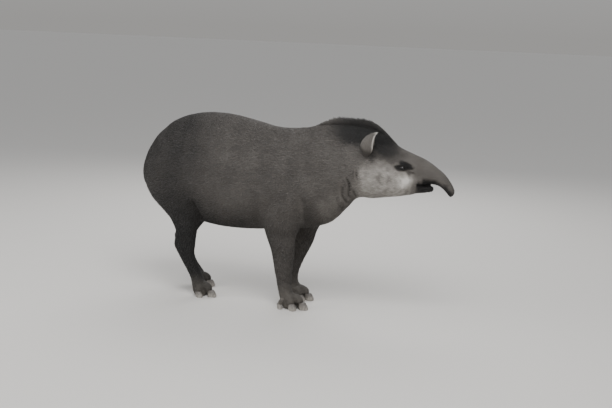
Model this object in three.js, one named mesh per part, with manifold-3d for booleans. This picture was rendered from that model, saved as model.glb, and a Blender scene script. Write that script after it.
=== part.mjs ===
// A life-size lowland tapir standing still, as a museum model: one named solid for each part of the body.
// Millimetres, +Z up, +X towards the head, +Y to the animal's left. The hooves and pads stand at Z = 0.
//
// The flesh is modelled whole: a trunk that runs from the rump to the tip of the nose, four legs, the lower
// jaw and the tail are lofted, fused, and then parted by thin cuts. Ears, eyes, hooves and the mane follow.
// Everything is laid out with the spine straight, and bend() then turns the neck and head to the left.
import * as THREE from 'three';
import { mergeVertices } from 'three/addons/utils/BufferGeometryUtils.js';
import Module from 'manifold-3d';

const wasm = await Module();
wasm.setup();

// Gap between touching parts.
const GAP = 0.35;

// The middle of the model's outline box, seen from above, in the layout's own frame.
const BOX_MIDDLE_X = -70;
const BOX_MIDDLE_Y = 0;

// The neck turns to the left between these two places along the spine.
const NECK_BEND_START = 220;
const NECK_BEND_END = 335;
const HEAD_TURN = THREE.MathUtils.degToRad(8);

// Right and left as signs of Y.
const RIGHT = -1;
const LEFT = 1;

// Trunk, neck and head. Each station is a ring: its point on the back, its point below, its half width, how
// high it is widest (-1 at the bottom, 1 at the top), and the roundness of its upper and lower half, where 2
// is an ellipse, less is more ridged and more is boxier.
const TRUNK = {
  buttock: { top: [-955, 650], low: [-955, 650], half: 0, widest: 0, upper: 2, lower: 2 },
  rump: { top: [-932, 762], low: [-893, 560], half: 126, widest: -0.05, upper: 2, lower: 2 },
  croupEnd: { top: [-866, 893], low: [-825, 505], half: 184, widest: -0.15, upper: 1.9, lower: 2.1 },
  croup: { top: [-752, 986], low: [-715, 455], half: 214, widest: -0.15, upper: 1.85, lower: 2.2 },
  hip: { top: [-600, 1030], low: [-575, 414], half: 225, widest: -0.1, upper: 1.9, lower: 2.2 },
  loin: { top: [-440, 1034], low: [-430, 397], half: 232, widest: -0.15, upper: 1.9, lower: 2.2 },
  barrel: { top: [-280, 1008], low: [-275, 401], half: 234, widest: -0.18, upper: 1.9, lower: 2.2 },
  saddle: { top: [-110, 980], low: [-110, 418], half: 221, widest: -0.15, upper: 1.85, lower: 2.1 },
  withers: { top: [30, 992], low: [50, 437], half: 194, widest: -0.15, upper: 1.75, lower: 2.1 },
  neckBase: { top: [140, 1018], low: [178, 478], half: 160, widest: -0.2, upper: 1.6, lower: 2 },
  neck: { top: [230, 1031], low: [262, 556], half: 130, widest: -0.2, upper: 1.5, lower: 2 },
  throat: { top: [310, 1030], low: [330, 628], half: 113, widest: -0.25, upper: 1.5, lower: 2.1 },
  poll: { top: [392, 1021], low: [420, 634], half: 107, widest: -0.3, upper: 1.5, lower: 2.3 },
  forehead: { top: [470, 978], low: [505, 646], half: 103, widest: -0.3, upper: 1.6, lower: 2.4 },
  brow: { top: [550, 918], low: [585, 660], half: 92, widest: -0.15, upper: 1.9, lower: 2.4 },
  noseRoot: { top: [622, 888], low: [638, 682], half: 69, widest: -0.1, upper: 2, lower: 2.2 },
  upperLip: { top: [668, 868], low: [690, 729], half: 55, widest: -0.1, upper: 2, lower: 2.2 },
  nose: { top: [726, 837], low: [738, 727], half: 46, widest: 0, upper: 2.1, lower: 2.2 },
  trunkBend: { top: [782, 794], low: [768, 715], half: 38, widest: 0, upper: 2.2, lower: 2.2 },
  trunkEnd: { top: [824, 746], low: [796, 690], half: 33, widest: 0, upper: 2.2, lower: 2.2 },
  snout: { top: [846, 701], low: [819, 667], half: 27, widest: 0, upper: 2.2, lower: 2.2 },
  snoutTip: { top: [841, 676], low: [841, 676], half: 0, widest: 0, upper: 2, lower: 2 },
};

// The lower jaw, in the same terms.
const JAW = {
  root: { top: [560, 700], low: [560, 700], half: 0, widest: 0, upper: 2, lower: 2 },
  angle: { top: [600, 728], low: [597, 664], half: 56, widest: 0, upper: 2.2, lower: 2.2 },
  cheek: { top: [645, 727], low: [645, 676], half: 46, widest: 0, upper: 2.3, lower: 2.2 },
  lip: { top: [692, 722], low: [694, 683], half: 37, widest: 0.1, upper: 2.3, lower: 2.1 },
  chin: { top: [722, 717], low: [725, 690], half: 28, widest: 0.1, upper: 2.2, lower: 2 },
  chinTip: { top: [738, 704], low: [738, 704], half: 0, widest: 0, upper: 2, lower: 2 },
};

// A leg's stations from the top down: height, place along the body, half length, half width and place out
// from the middle. These are the right legs; the left ones lean by FORE_LEAN and HIND_LEAN.
const FORELEG = {
  scapulaTop: { height: 905, along: -25, length: 0, width: 0, out: 85 },
  scapula: { height: 850, along: -28, length: 82, width: 36, out: 104 },
  shoulder: { height: 735, along: -28, length: 122, width: 66, out: 128 },
  upperArm: { height: 600, along: -38, length: 136, width: 80, out: 132 },
  elbow: { height: 475, along: -52, length: 112, width: 76, out: 124 },
  forearmTop: { height: 400, along: -59, length: 86, width: 60, out: 115 },
  forearm: { height: 315, along: -48, length: 67, width: 49, out: 109 },
  carpus: { height: 230, along: -44, length: 55, width: 44, out: 104 },
  cannon: { height: 155, along: -39, length: 45, width: 37, out: 101 },
  fetlock: { height: 105, along: -32, length: 41, width: 40, out: 100 },
  foot: { height: 62, along: -14, length: 50, width: 50, out: 99 },
  pad: { height: 22, along: 0, length: 50, width: 50, out: 99 },
  sole: { height: 0, along: 2, length: 42, width: 42, out: 99 },
};
const HINDLEG = {
  pelvisTop: { height: 880, along: -705, length: 0, width: 0, out: 120 },
  pelvis: { height: 835, along: -715, length: 85, width: 46, out: 134 },
  thighTop: { height: 750, along: -728, length: 134, width: 74, out: 136 },
  thigh: { height: 650, along: -732, length: 152, width: 84, out: 135 },
  buttockFold: { height: 560, along: -701, length: 148, width: 86, out: 133 },
  stifle: { height: 485, along: -662, length: 112, width: 77, out: 128 },
  gaskinTop: { height: 425, along: -642, length: 84, width: 62, out: 121 },
  gaskin: { height: 358, along: -637, length: 63, width: 47, out: 115 },
  hock: { height: 285, along: -648, length: 65, width: 39, out: 110 },
  hockFoot: { height: 235, along: -638, length: 52, width: 36, out: 108 },
  cannon: { height: 165, along: -604, length: 44, width: 33, out: 105 },
  fetlock: { height: 100, along: -568, length: 40, width: 38, out: 104 },
  foot: { height: 60, along: -552, length: 48, width: 47, out: 104 },
  pad: { height: 22, along: -542, length: 47, width: 46, out: 104 },
  sole: { height: 0, along: -540, length: 39, width: 38, out: 104 },
};

// How far forward the left leg stands of the right one: [height, distance] from the foot up.
const FORE_LEAN = [[110, -42], [420, 38]];
const HIND_LEAN = [[50, -112], [160, -134], [280, -118], [440, -50], [560, -22]];

// Toes: where each hoof's middle stands, forward and outward of the sole's middle, its half length, half
// width and height, and which way it points, outwards in degrees.
const FORE_TOES = {
  inner: { forward: 47, outward: -38, length: 27, width: 19, height: 35, turn: -16 },
  middle: { forward: 80, outward: 0, length: 31, width: 22, height: 40, turn: 3 },
  outer: { forward: 34, outward: 43, length: 27, width: 20, height: 36, turn: 20 },
  little: { forward: -38, outward: 47, length: 19, width: 13, height: 30, turn: 30 },
};
const HIND_TOES = {
  inner: { forward: 18, outward: -39, length: 25, width: 17, height: 33, turn: -14 },
  middle: { forward: 70, outward: 0, length: 31, width: 21, height: 39, turn: 2 },
  outer: { forward: 12, outward: 42, length: 25, width: 17, height: 33, turn: 16 },
};

// Tail stub: its path on the middle plane, its radius at the root, and at the tip.
const TAIL = { path: [[-912, 786], [-948, 758], [-968, 712], [-970, 662]], root: 28, tip: 10 };

// Eye: the ball's middle (out is from the middle plane), its radius, and the roll of the lids round it.
const EYE = { along: 569, out: 75, height: 816, radius: 15.5 };

// Lids: a ring round the eye, its radius, its thickness, how far out of the ball's middle it lies, and how
// much it is closed from a circle to an almond.
const LIDS = { radius: 14, thickness: 5, out: 9, closed: 0.7, facing: [0.22, 0.93, 0.28] };

// Ear: the middle of its root and its tip on the right side, its greatest half width and half depth, and how
// far its middle bows back between them.
// The cup opens along facing. Each row is a place along the ear with its share of the width and depth, and
// how far round the shell reaches from the back of the ear, in degrees.
const EAR = { root: [372, 72, 864], tip: [433, 112, 995], half: 37, depth: 39, wall: 5, bow: 15, facing: [1, -0.05, -0.1] };
const EAR_SHAPE = [
  [0, 0.5, 150],
  [0.15, 0.74, 150],
  [0.33, 0.97, 140],
  [0.5, 1, 124],
  [0.68, 0.84, 106],
  [0.84, 0.58, 92],
  [0.95, 0.32, 84],
  [1, 0.14, 80],
];

// Mane: short upright locks along the crest, from the withers to the forehead, in three columns.
const MANE = { from: 100, to: 505, step: 19, column: 8, rise: 35, sunk: 14, half: 12, thickness: 4.5, lean: 0.45 };

// Where the flesh is parted.
const NECK_CUT = { high: [100, 1040], low: [215, 470] };
const HEAD_CUT = { high: [336, 1060], low: [352, 600] };
const NOSE_CUT = { high: [676, 880], low: [690, 725] };
const JAW_CUT = [[650, 729], [604, 640], [750, 640], [750, 712], [716, 724]];
const FORELEG_CUT = { front: [150, 412], back: [-230, 412] };
const HINDLEG_CUT = { front: [-500, 378], back: [-900, 500] };
const TAIL_CUT = { high: [-944, 815], low: [-966, 640] };

// Mouth: from the corner forward, and how far the lips stand apart in front.
const MOUTH = { corner: [650, 729], front: [745, 722], opening: 6 };

// Nostrils: two pits in the end of the nose.
const NOSTRIL = { from: [824, 696], to: [853, 661], out: 11.5, radius: 8 };

const MAP = Math.PI * 2;

// A point on a smooth curve through rows of numbers, at a place counted in rows (Catmull-Rom).
function between(rows, place) {
  const last = rows.length - 1;
  const i = Math.min(Math.floor(place), last - 1);
  const t = place - i;
  const [before, from, to, after] = [i - 1, i, i + 1, i + 2].map((k) => rows[THREE.MathUtils.clamp(k, 0, last)]);
  return from.map((value, k) => {
    const inward = (to[k] - before[k]) / 2;
    const outward = (after[k] - value) / 2;
    const curve = 2 * value - 2 * to[k] + inward + outward;
    const slope = 3 * to[k] - 3 * value - 2 * inward - outward;
    return ((curve * t + slope) * t + inward) * t + value;
  });
}

// Turns the neck and head to the left along an arc, and moves the layout to the middle of its box.
function bend([x, y, z]) {
  const run = THREE.MathUtils.clamp(x - NECK_BEND_START, 0, NECK_BEND_END - NECK_BEND_START);
  const rate = HEAD_TURN / (NECK_BEND_END - NECK_BEND_START);
  const angle = rate * run;
  const straight = x - run;
  const past = Math.max(0, straight - NECK_BEND_START);
  const centreX = straight - past + Math.sin(angle) / rate + past * Math.cos(angle);
  const centreY = (1 - Math.cos(angle)) / rate + past * Math.sin(angle);
  return [
    centreX - y * Math.sin(angle) - BOX_MIDDLE_X,
    centreY + y * Math.cos(angle) - BOX_MIDDLE_Y,
    z,
  ];
}

// A closed three.js geometry as a solid that can be joined and cut.
function solid(geometry) {
  geometry.deleteAttribute('normal');
  geometry.deleteAttribute('uv');
  const merged = mergeVertices(geometry, 1e-3);
  return new wasm.Manifold(new wasm.Mesh({
    numProp: 3,
    vertProperties: new Float32Array(merged.attributes.position.array),
    triVerts: new Uint32Array(merged.index.array),
  }));
}

// A closed loft: a sphere's grid whose points are moved to at(round, along), both 0 to 1.
function loft(around, rings, at) {
  const geometry = new THREE.SphereGeometry(1, around, rings);
  const { position, uv } = geometry.attributes;
  for (let i = 0; i < position.count; i += 1) {
    const along = 1 - uv.getY(i);
    const pole = along < 1e-6 || along > 1 - 1e-6;
    position.setXYZ(i, ...bend(at(pole ? 0 : uv.getX(i), along)));
  }
  return solid(geometry);
}

// One half of a superellipse: the power that turns a cosine or sine into its coordinate.
function rounded(value, roundness) {
  return Math.sign(value) * Math.abs(value) ** (2 / roundness);
}

// A loft through rings that stand on the middle plane, each between a point above and a point below.
function spineLoft(stations, around, rings) {
  const rows = Object.values(stations).map(
    ({ top, low, half, widest, upper, lower }) => [...top, ...low, half, widest, upper, lower],
  );
  return loft(around, rings, (round, along) => {
    const [topX, topZ, lowX, lowZ, half, widest, upper, lower] = between(rows, along * (rows.length - 1));
    const angle = round * MAP;
    const roundness = Math.cos(angle) > 0 ? upper : lower;
    const reach = Math.cos(angle) > 0 ? 1 - widest : 1 + widest;
    const rise = (1 + widest + reach * rounded(Math.cos(angle), roundness)) / 2;
    return [
      lowX + (topX - lowX) * rise,
      Math.max(half, 0) * rounded(Math.sin(angle), roundness),
      lowZ + (topZ - lowZ) * rise,
    ];
  });
}

// How far a left leg is moved along the body at a height.
function leanAt(lean, height) {
  let distance = lean[0][1];
  for (let i = 1; i < lean.length; i += 1) {
    distance += (lean[i][1] - lean[i - 1][1]) * THREE.MathUtils.smoothstep(height, lean[i - 1][0], lean[i][0]);
  }
  return distance;
}

// A leg from its top inside the body down to its flat sole.
function legLoft(stations, side, lean, around, rings) {
  const rows = Object.values(stations).map(({ height, along, length, width, out }) => [height, along, length, width, out]);
  rows.push([0, rows.at(-1)[1], 0, 0, rows.at(-1)[4]]);
  return loft(around, rings, (round, place) => {
    const at = between(rows, place * (rows.length - 1));
    const height = Math.max(at[0], 0);
    const sway = side === LEFT ? leanAt(lean, height) : 0;
    const angle = round * MAP;
    return [
      at[1] + sway + Math.max(at[2], 0) * rounded(Math.cos(angle), 2.2),
      side * at[4] + Math.max(at[3], 0) * rounded(Math.sin(angle), 2.2),
      height,
    ];
  });
}

// A round limb along a path of 3-D points, with a radius at each.
function limb(points, radii, around, rings) {
  const curve = new THREE.CatmullRomCurve3(points.map((p) => new THREE.Vector3(...p)));
  const rows = [0, ...radii, 0].map((r) => [r]);
  return loft(around, rings, (round, along) => {
    const centre = curve.getPoint(along);
    const forward = curve.getTangent(along);
    const first = new THREE.Vector3(0, 1, 0).cross(forward).normalize();
    const second = first.clone().cross(forward).normalize();
    const radius = Math.max(between(rows, along * (rows.length - 1))[0], 0);
    const angle = round * MAP;
    centre.addScaledVector(first, radius * Math.cos(angle));
    centre.addScaledVector(second, radius * Math.sin(angle));
    return centre.toArray();
  });
}

// A hoof: flat on the ground, rounded in front, drawn in and leaning back towards its top. It can be grown.
function hoof(toe, centre, side, grow = 0) {
  const turn = side * THREE.MathUtils.degToRad(toe.turn);
  const rows = [
    [-grow, 0, 0],
    [-grow, 1, 0],
    [toe.height * 0.5, 0.95, -3],
    [toe.height + grow, 0.76, -10],
    [toe.height + grow, 0, -10],
  ];
  return loft(14, rows.length - 1, (round, along) => {
    const [height, share, back] = rows[Math.round(along * (rows.length - 1))];
    const angle = round * MAP;
    const reach = share > 0 ? share * toe.length + grow : 0;
    const half = share > 0 ? share * toe.width + grow : 0;
    const heel = Math.cos(angle) < 0 ? 0.72 : 1;
    const x = back + reach * heel * rounded(Math.cos(angle), 2.3);
    const y = half * rounded(Math.sin(-angle), 2.3);
    return [
      centre[0] + x * Math.cos(turn) - y * Math.sin(turn),
      centre[1] + x * Math.sin(turn) + y * Math.cos(turn),
      height,
    ];
  });
}

// The flesh of a toe, from the foot to inside its hoof.
function toeFlesh(toe, hoofCentre, footCentre) {
  const inFoot = [
    THREE.MathUtils.lerp(footCentre[0], hoofCentre[0], 0.15),
    THREE.MathUtils.lerp(footCentre[1], hoofCentre[1], 0.3),
    footCentre[2],
  ];
  const knuckle = [
    THREE.MathUtils.lerp(footCentre[0], hoofCentre[0], 0.62),
    THREE.MathUtils.lerp(footCentre[1], hoofCentre[1], 0.75),
    toe.height + 17,
  ];
  const inHoof = [hoofCentre[0] - 6, hoofCentre[1], toe.height - 8];
  return limb([inFoot, knuckle, inHoof], [toe.width + 3, toe.width, toe.width * 0.66], 10, 6);
}

// A flat cutting block: everything below the line from back to front, on one side of the body.
function blockBelow(line, side, raise) {
  const [frontX, frontZ] = line.front;
  const [backX, backZ] = line.back;
  const shape = new THREE.Shape([
    new THREE.Vector2(backX, -10),
    new THREE.Vector2(frontX, -10),
    new THREE.Vector2(frontX, frontZ + raise),
    new THREE.Vector2(backX, backZ + raise),
  ]);
  const block = new THREE.ExtrudeGeometry(shape, { depth: 330, bevelEnabled: false });
  block.rotateX(Math.PI / 2);
  block.translate(-BOX_MIDDLE_X, (side === LEFT ? 331 : -1) - BOX_MIDDLE_Y, 0);
  return solid(block);
}

// The plane that holds a line on the middle plane, once bent: its normal points forward.
function cutPlane(line) {
  const [ax, az] = line.high;
  const [bx, bz] = line.low;
  const from = new THREE.Vector3(...bend([ax, 0, az]));
  const down = new THREE.Vector3(...bend([bx, 0, bz])).sub(from);
  const across = new THREE.Vector3(...bend([ax, 10, az])).sub(from);
  const normal = down.cross(across).normalize();
  return { normal, offset: normal.dot(from) };
}

// Parts a solid at a plane and keeps half the gap on each side: [in front, behind].
function part(body, line) {
  const { normal, offset } = cutPlane(line);
  const front = body.trimByPlane(normal.toArray(), offset + GAP / 2);
  const behind = body.trimByPlane(normal.clone().negate().toArray(), -(offset - GAP / 2));
  return [front, behind];
}

// The largest closed body, which drops scraps and fills sealed hollows.
function largest(body) {
  return body.decompose().reduce((best, piece) => (piece.volume() > best.volume() ? piece : best));
}

function join(pieces) {
  return pieces.reduce((whole, piece) => whole.add(piece));
}

// A plate across the body: an outline in the middle plane, thick to both sides, turned with the head.
function plate(outline, half) {
  const shape = new THREE.Shape(outline.map(([x, z]) => new THREE.Vector2(x, z)));
  const geometry = new THREE.ExtrudeGeometry(shape, { depth: 2 * half, bevelEnabled: false });
  geometry.rotateX(Math.PI / 2);
  geometry.translate(0, half, 0);
  const { position } = geometry.attributes;
  for (let i = 0; i < position.count; i += 1) {
    position.setXYZ(i, ...bend([position.getX(i), position.getY(i), position.getZ(i)]));
  }
  return solid(geometry);
}

// A geometry built round the origin, put at a place and turned so that its Z axis faces a direction.
function placed(geometry, at, facing) {
  const turn = new THREE.Quaternion().setFromUnitVectors(new THREE.Vector3(0, 0, 1), facing.clone().normalize());
  geometry.applyQuaternion(turn);
  geometry.translate(...at);
  return solid(geometry);
}

// An ear: a curved shell whose rings are an outer arc and back along an inner arc.
function ear(side) {
  const root = new THREE.Vector3(...bend([EAR.root[0], side * EAR.root[1], EAR.root[2]]));
  const tip = new THREE.Vector3(...bend([EAR.tip[0], side * EAR.tip[1], EAR.tip[2]]));
  const axis = tip.clone().sub(root).normalize();
  const facing = new THREE.Vector3(EAR.facing[0], side * EAR.facing[1], EAR.facing[2]);
  facing.applyAxisAngle(new THREE.Vector3(0, 0, 1), HEAD_TURN);
  facing.addScaledVector(axis, -facing.dot(axis)).normalize();
  const across = axis.clone().cross(facing);
  const rings = EAR_SHAPE.length + 1;
  const arc = 10;
  const geometry = new THREE.SphereGeometry(1, 2 * arc, rings);
  const { position, uv } = geometry.attributes;
  for (let i = 0; i < position.count; i += 1) {
    const ring = Math.round((1 - uv.getY(i)) * rings);
    const row = EAR_SHAPE[THREE.MathUtils.clamp(ring - 1, 0, EAR_SHAPE.length - 1)];
    const [place, share, reach] = row;
    const step = Math.round(uv.getX(i) * 2 * arc) % (2 * arc);
    const outer = step < arc;
    const sweep = outer ? (2 * step) / (arc - 1) - 1 : 1 - (2 * (step - arc)) / (arc - 1);
    const angle = THREE.MathUtils.degToRad(reach) * sweep;
    const wall = outer ? 0 : EAR.wall;
    const pole = ring === 0 || ring === rings;
    const half = pole ? 0 : Math.max(share * EAR.half - wall, 2);
    const depth = pole ? share * EAR.depth - EAR.wall / 2 : Math.max(share * EAR.depth - wall, 2);
    const point = root.clone().lerp(tip, place).addScaledVector(facing, -4 * EAR.bow * place * (1 - place));
    point.addScaledVector(axis, pole ? (ring ? 3 : -3) : 0);
    point.addScaledVector(across, half * Math.sin(pole ? 0 : angle));
    point.addScaledVector(facing, -depth * Math.cos(pole ? 0 : angle));
    position.setXYZ(i, point.x, point.y, point.z);
  }
  return { body: solid(geometry), axis };
}

// One lock of the mane: a flat blade that rises from the crest, bends back and ends in a point.
function lock(x, y, height, lean, sideways) {
  const rows = [
    [-MANE.sunk, 0.8],
    [height * 0.2, 1],
    [height * 0.7, 0.65],
  ];
  return loft(4, rows.length + 1, (round, along) => {
    const ring = Math.round(along * (rows.length + 1));
    const angle = round * MAP;
    const [rise, share] = ring === 0 ? [-MANE.sunk - 1, 0] : rows[ring - 1] ?? [height, 0];
    const bow = Math.max(rise, 0) ** 2 / height;
    return [
      x[0] - lean * bow - 0.25 * rise + share * MANE.half * Math.cos(angle),
      y + sideways * bow - share * MANE.thickness * Math.sin(angle),
      x[1] + rise,
    ];
  });
}

// The crest: the line of the back, where the mane stands, as [along, height].
function crest(x) {
  const tops = Object.values(TRUNK).map(({ top }) => top);
  let place = 0;
  while (place < tops.length - 1 && between(tops, place)[0] < x) {
    place += 0.02;
  }
  return between(tops, place);
}

// Seeded random numbers from 0 to 1.
function randomNumbers(seed) {
  let state = seed;
  return () => {
    state = (state * 16807) % 2147483647;
    return state / 2147483647;
  };
}

// The legs and their hooves.
const LEGS = {
  foreleg_right: { stations: FORELEG, toes: FORE_TOES, side: RIGHT, lean: FORE_LEAN, cut: FORELEG_CUT },
  foreleg_left: { stations: FORELEG, toes: FORE_TOES, side: LEFT, lean: FORE_LEAN, cut: FORELEG_CUT },
  hindleg_right: { stations: HINDLEG, toes: HIND_TOES, side: RIGHT, lean: HIND_LEAN, cut: HINDLEG_CUT },
  hindleg_left: { stations: HINDLEG, toes: HIND_TOES, side: LEFT, lean: HIND_LEAN, cut: HINDLEG_CUT },
};

const parts = {};
const hooves = {};
const eyes = {};

// Trunk, lower jaw, tail and legs in one, with room for the hooves.
let flesh = spineLoft(TRUNK, 28, 48).add(spineLoft(JAW, 14, 10));
const tailPoints = TAIL.path.map(([x, z]) => [x, 0, z]);
flesh = flesh.add(limb(tailPoints, [TAIL.root, TAIL.root * 0.85, TAIL.tip * 1.6, TAIL.tip], 12, 10));
for (const [name, { stations, toes, side, lean }] of Object.entries(LEGS)) {
  const sway = side === LEFT ? leanAt(lean, 0) : 0;
  const middle = [stations.sole.along + sway, side * stations.sole.out];
  const foot = [stations.foot.along + sway, side * stations.foot.out, stations.foot.height];
  let leg = legLoft(stations, side, lean, 16, 26);
  for (const [toeName, toe] of Object.entries(toes)) {
    const centre = [middle[0] + toe.forward, middle[1] + side * toe.outward];
    hooves[`hoof_${name}_${toeName}`] = hoof(toe, centre, side);
    leg = leg.add(toeFlesh(toe, centre, foot)).subtract(hoof(toe, centre, side, GAP));
  }
  flesh = flesh.add(leg.trimByPlane([0, 0, 1], 0));
}

// Mouth and nostrils.
const [frontX, frontZ] = MOUTH.front;
const mouth = plate([MOUTH.corner, [frontX, frontZ - MOUTH.opening / 2], [frontX, frontZ + MOUTH.opening / 2]], 90);
flesh = flesh.subtract(mouth);
for (const side of [RIGHT, LEFT]) {
  const [from, to] = [NOSTRIL.from, NOSTRIL.to].map(([x, z]) => [x, side * NOSTRIL.out, z]);
  flesh = flesh.subtract(limb([from, to], [NOSTRIL.radius, NOSTRIL.radius], 10, 5));
}

// The legs are parted from the trunk by slanting blocks.
for (const [name, { side, cut }] of Object.entries(LEGS)) {
  parts[name] = largest(flesh.intersect(blockBelow(cut, side, 0)));
  flesh = flesh.subtract(blockBelow(cut, side, GAP));
}
flesh = largest(flesh);

// The tail, torso, neck, nose, jaw and head are parted at planes.
const [headAndNeck, hindPart] = part(flesh, NECK_CUT);
const [torso, tail] = part(hindPart, TAIL_CUT);
const [headAndNose, neckFlesh] = part(headAndNeck, HEAD_CUT);
const jawBlock = plate(JAW_CUT, 120);
const jaw = headAndNose.intersect(jawBlock);
const headFlesh = headAndNose.subtract(jawBlock).subtract(jawBlock.translate(-GAP, 0, GAP));
const [nose, skull] = part(headFlesh, NOSE_CUT);
parts.torso = largest(torso);
parts.tail = largest(tail);
parts.lower_jaw = largest(jaw);
parts.proboscis = largest(nose);

// Eyes, each in its socket inside a ring of lids.
let head = largest(skull);
for (const [name, side] of [['eye_right', RIGHT], ['eye_left', LEFT]]) {
  const middle = bend([EYE.along, side * EYE.out, EYE.height]);
  const facing = new THREE.Vector3(LIDS.facing[0], side * LIDS.facing[1], LIDS.facing[2]);
  facing.applyAxisAngle(new THREE.Vector3(0, 0, 1), HEAD_TURN).normalize();
  const lids = new THREE.TorusGeometry(LIDS.radius, LIDS.thickness, 8, 20);
  lids.scale(1, LIDS.closed, 1);
  const lidsAt = new THREE.Vector3(...middle).addScaledVector(facing, LIDS.out).toArray();
  eyes[name] = placed(new THREE.SphereGeometry(EYE.radius, 16, 10), middle, facing);
  head = head.add(placed(lids, lidsAt, facing));
  head = head.subtract(placed(new THREE.SphereGeometry(EYE.radius + GAP, 16, 10), middle, facing));
}
parts.head = largest(head);

// Ears, their roots cut to the head.
for (const [name, side] of [['ear_right', RIGHT], ['ear_left', LEFT]]) {
  const { body, axis } = ear(side);
  const lifted = axis.clone().multiplyScalar(GAP * 1.3);
  parts[name] = largest(body.subtract(headFlesh).subtract(headFlesh.translate(...lifted.toArray()))
    .subtract(neckFlesh).subtract(neckFlesh.translate(...lifted.toArray())));
}

// The mane stands on the neck and the head, and is cut where they part.
const random = randomNumbers(41);
const locks = { neck: [], head: [] };
for (const column of [-1, 0, 1]) {
  for (let x = MANE.from + (column + 1) * MANE.step / 3; x < MANE.to; x += MANE.step) {
    const root = crest(x);
    const rear = THREE.MathUtils.smoothstep(x, MANE.from - 10, MANE.from + 160);
    const ends = rear * (1 - THREE.MathUtils.smoothstep(x, MANE.to - 40, MANE.to + 10));
    const height = MANE.rise * (0.42 + 0.58 * ends) * (0.85 + 0.3 * random());
    const sideways = column * 0.2 + 0.35 * (random() - 0.5);
    const blade = lock([root[0], root[1] - Math.abs(column) * 3], column * MANE.column, height, MANE.lean, sideways);
    locks[x < (HEAD_CUT.high[0] + HEAD_CUT.low[0]) / 2 ? 'neck' : 'head'].push(blade);
  }
}
const inFront = (body) => part(body, HEAD_CUT)[0];
const behind = (body) => part(body, HEAD_CUT)[1];
const maned = part(neckFlesh.add(behind(join(locks.neck))), NECK_CUT)[0];
parts.neck = largest(maned);
parts.head = largest(parts.head.add(inFront(join(locks.head))));

const COLOURS = { flesh: 0x3d3733, hoof: 0x6b635a, eye: 0x0d0a08 };
const group = new THREE.Group();

// A mesh for one solid.
function show(name, body, colour, roughness) {
  const { vertProperties, triVerts } = body.getMesh();
  const geometry = new THREE.BufferGeometry();
  geometry.setAttribute('position', new THREE.BufferAttribute(new Float32Array(vertProperties), 3));
  geometry.setIndex(new THREE.BufferAttribute(new Uint32Array(triVerts), 1));
  geometry.computeVertexNormals();
  const mesh = new THREE.Mesh(geometry, new THREE.MeshStandardMaterial({ color: colour, roughness, metalness: 0 }));
  mesh.name = name;
  group.add(mesh);
}

for (const [name, body] of Object.entries(parts)) {
  show(name, body, COLOURS.flesh, 0.85);
}
for (const [name, body] of Object.entries(hooves)) {
  show(name, body, COLOURS.hoof, 0.6);
}
for (const [name, body] of Object.entries(eyes)) {
  show(name, body, COLOURS.eye, 0.15);
}

export default group;
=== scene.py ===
# %% [markdown]
# A lowland tapir, life size, as a museum model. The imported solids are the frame: the sizes here repeat
# theirs, and they stay hidden under finer pieces made here. A living animal has no seams, so one skin covers
# trunk, neck, head, legs and tail. Over it lies a short coat, a stiff mane along the nape, and the separate
# ears, eyes, lids and hooves. Everything is shaped with the spine straight, and turned at the end, so that
# the right and left sides can share their formulas.

# %% The frame and the tools
import math

import bpy
import numpy as np
from mathutils import Matrix, Vector


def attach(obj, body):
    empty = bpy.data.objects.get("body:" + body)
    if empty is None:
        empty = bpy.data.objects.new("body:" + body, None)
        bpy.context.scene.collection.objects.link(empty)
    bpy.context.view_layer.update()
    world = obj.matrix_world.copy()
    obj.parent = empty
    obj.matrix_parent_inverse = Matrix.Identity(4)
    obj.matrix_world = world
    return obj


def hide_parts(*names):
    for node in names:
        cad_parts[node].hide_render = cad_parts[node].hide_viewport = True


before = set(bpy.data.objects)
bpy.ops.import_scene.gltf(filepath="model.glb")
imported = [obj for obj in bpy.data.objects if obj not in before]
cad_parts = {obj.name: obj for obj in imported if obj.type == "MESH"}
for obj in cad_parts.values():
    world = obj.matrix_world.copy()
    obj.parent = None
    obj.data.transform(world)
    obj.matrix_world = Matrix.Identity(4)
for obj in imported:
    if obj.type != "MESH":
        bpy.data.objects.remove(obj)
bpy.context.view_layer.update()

# %% [markdown]
# The layout below is in metres with the spine along X. The head is turned to the animal's left by bending
# the neck along an arc: up to the start nothing moves, inside the arc a point turns with the distance it
# has gone, and past the end all turns by the whole angle. The same bend is in the solids.

# %% Turning the head
NECK_BEND = (0.220, 0.335)
HEAD_TURN = math.radians(8)
BOX_MIDDLE_X = -0.070
RATE = HEAD_TURN / (NECK_BEND[1] - NECK_BEND[0])


def turned(points):
    """Layout points in the solids' own frame: an arc of radius 1 / rate, straight before and after it."""
    x, y, z = np.moveaxis(np.asarray(points, float), -1, 0)
    run = np.clip(x - NECK_BEND[0], 0, NECK_BEND[1] - NECK_BEND[0])
    past = np.maximum(x - NECK_BEND[1], 0)
    angle = RATE * run
    middle_x = x - run - past + np.sin(angle) / RATE + past * np.cos(angle)
    middle_y = (1 - np.cos(angle)) / RATE + past * np.sin(angle)
    return np.stack([middle_x - y * np.sin(angle) - BOX_MIDDLE_X, middle_y + y * np.cos(angle), z], -1)


print("snout tip goes to", turned([0.855, 0, 0.70]).round(3))

# %% [markdown]
# A curve through a few measured stations is smoother than straight lines between them. The Catmull-Rom curve
# passes through every station, with a slope taken from its two neighbours, so a ring's size, place and
# roundness can all be columns of one table.

# %% Curves through stations
def through(rows, count):
    """Rows of numbers as a smooth curve, read at count even steps: a cubic between each two rows."""
    rows = np.asarray(rows, float)
    place = np.linspace(0, len(rows) - 1, count)
    i = np.minimum(place.astype(int), len(rows) - 2)
    t = (place - i)[:, None]
    before, start, end, after = (rows[np.clip(i + k, 0, len(rows) - 1)] for k in (-1, 0, 1, 2))
    curve = 2 * before - 5 * start + 4 * end - after + t * (3 * (start - end) + after - before)
    return start + 0.5 * t * (end - before + t * curve)


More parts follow.
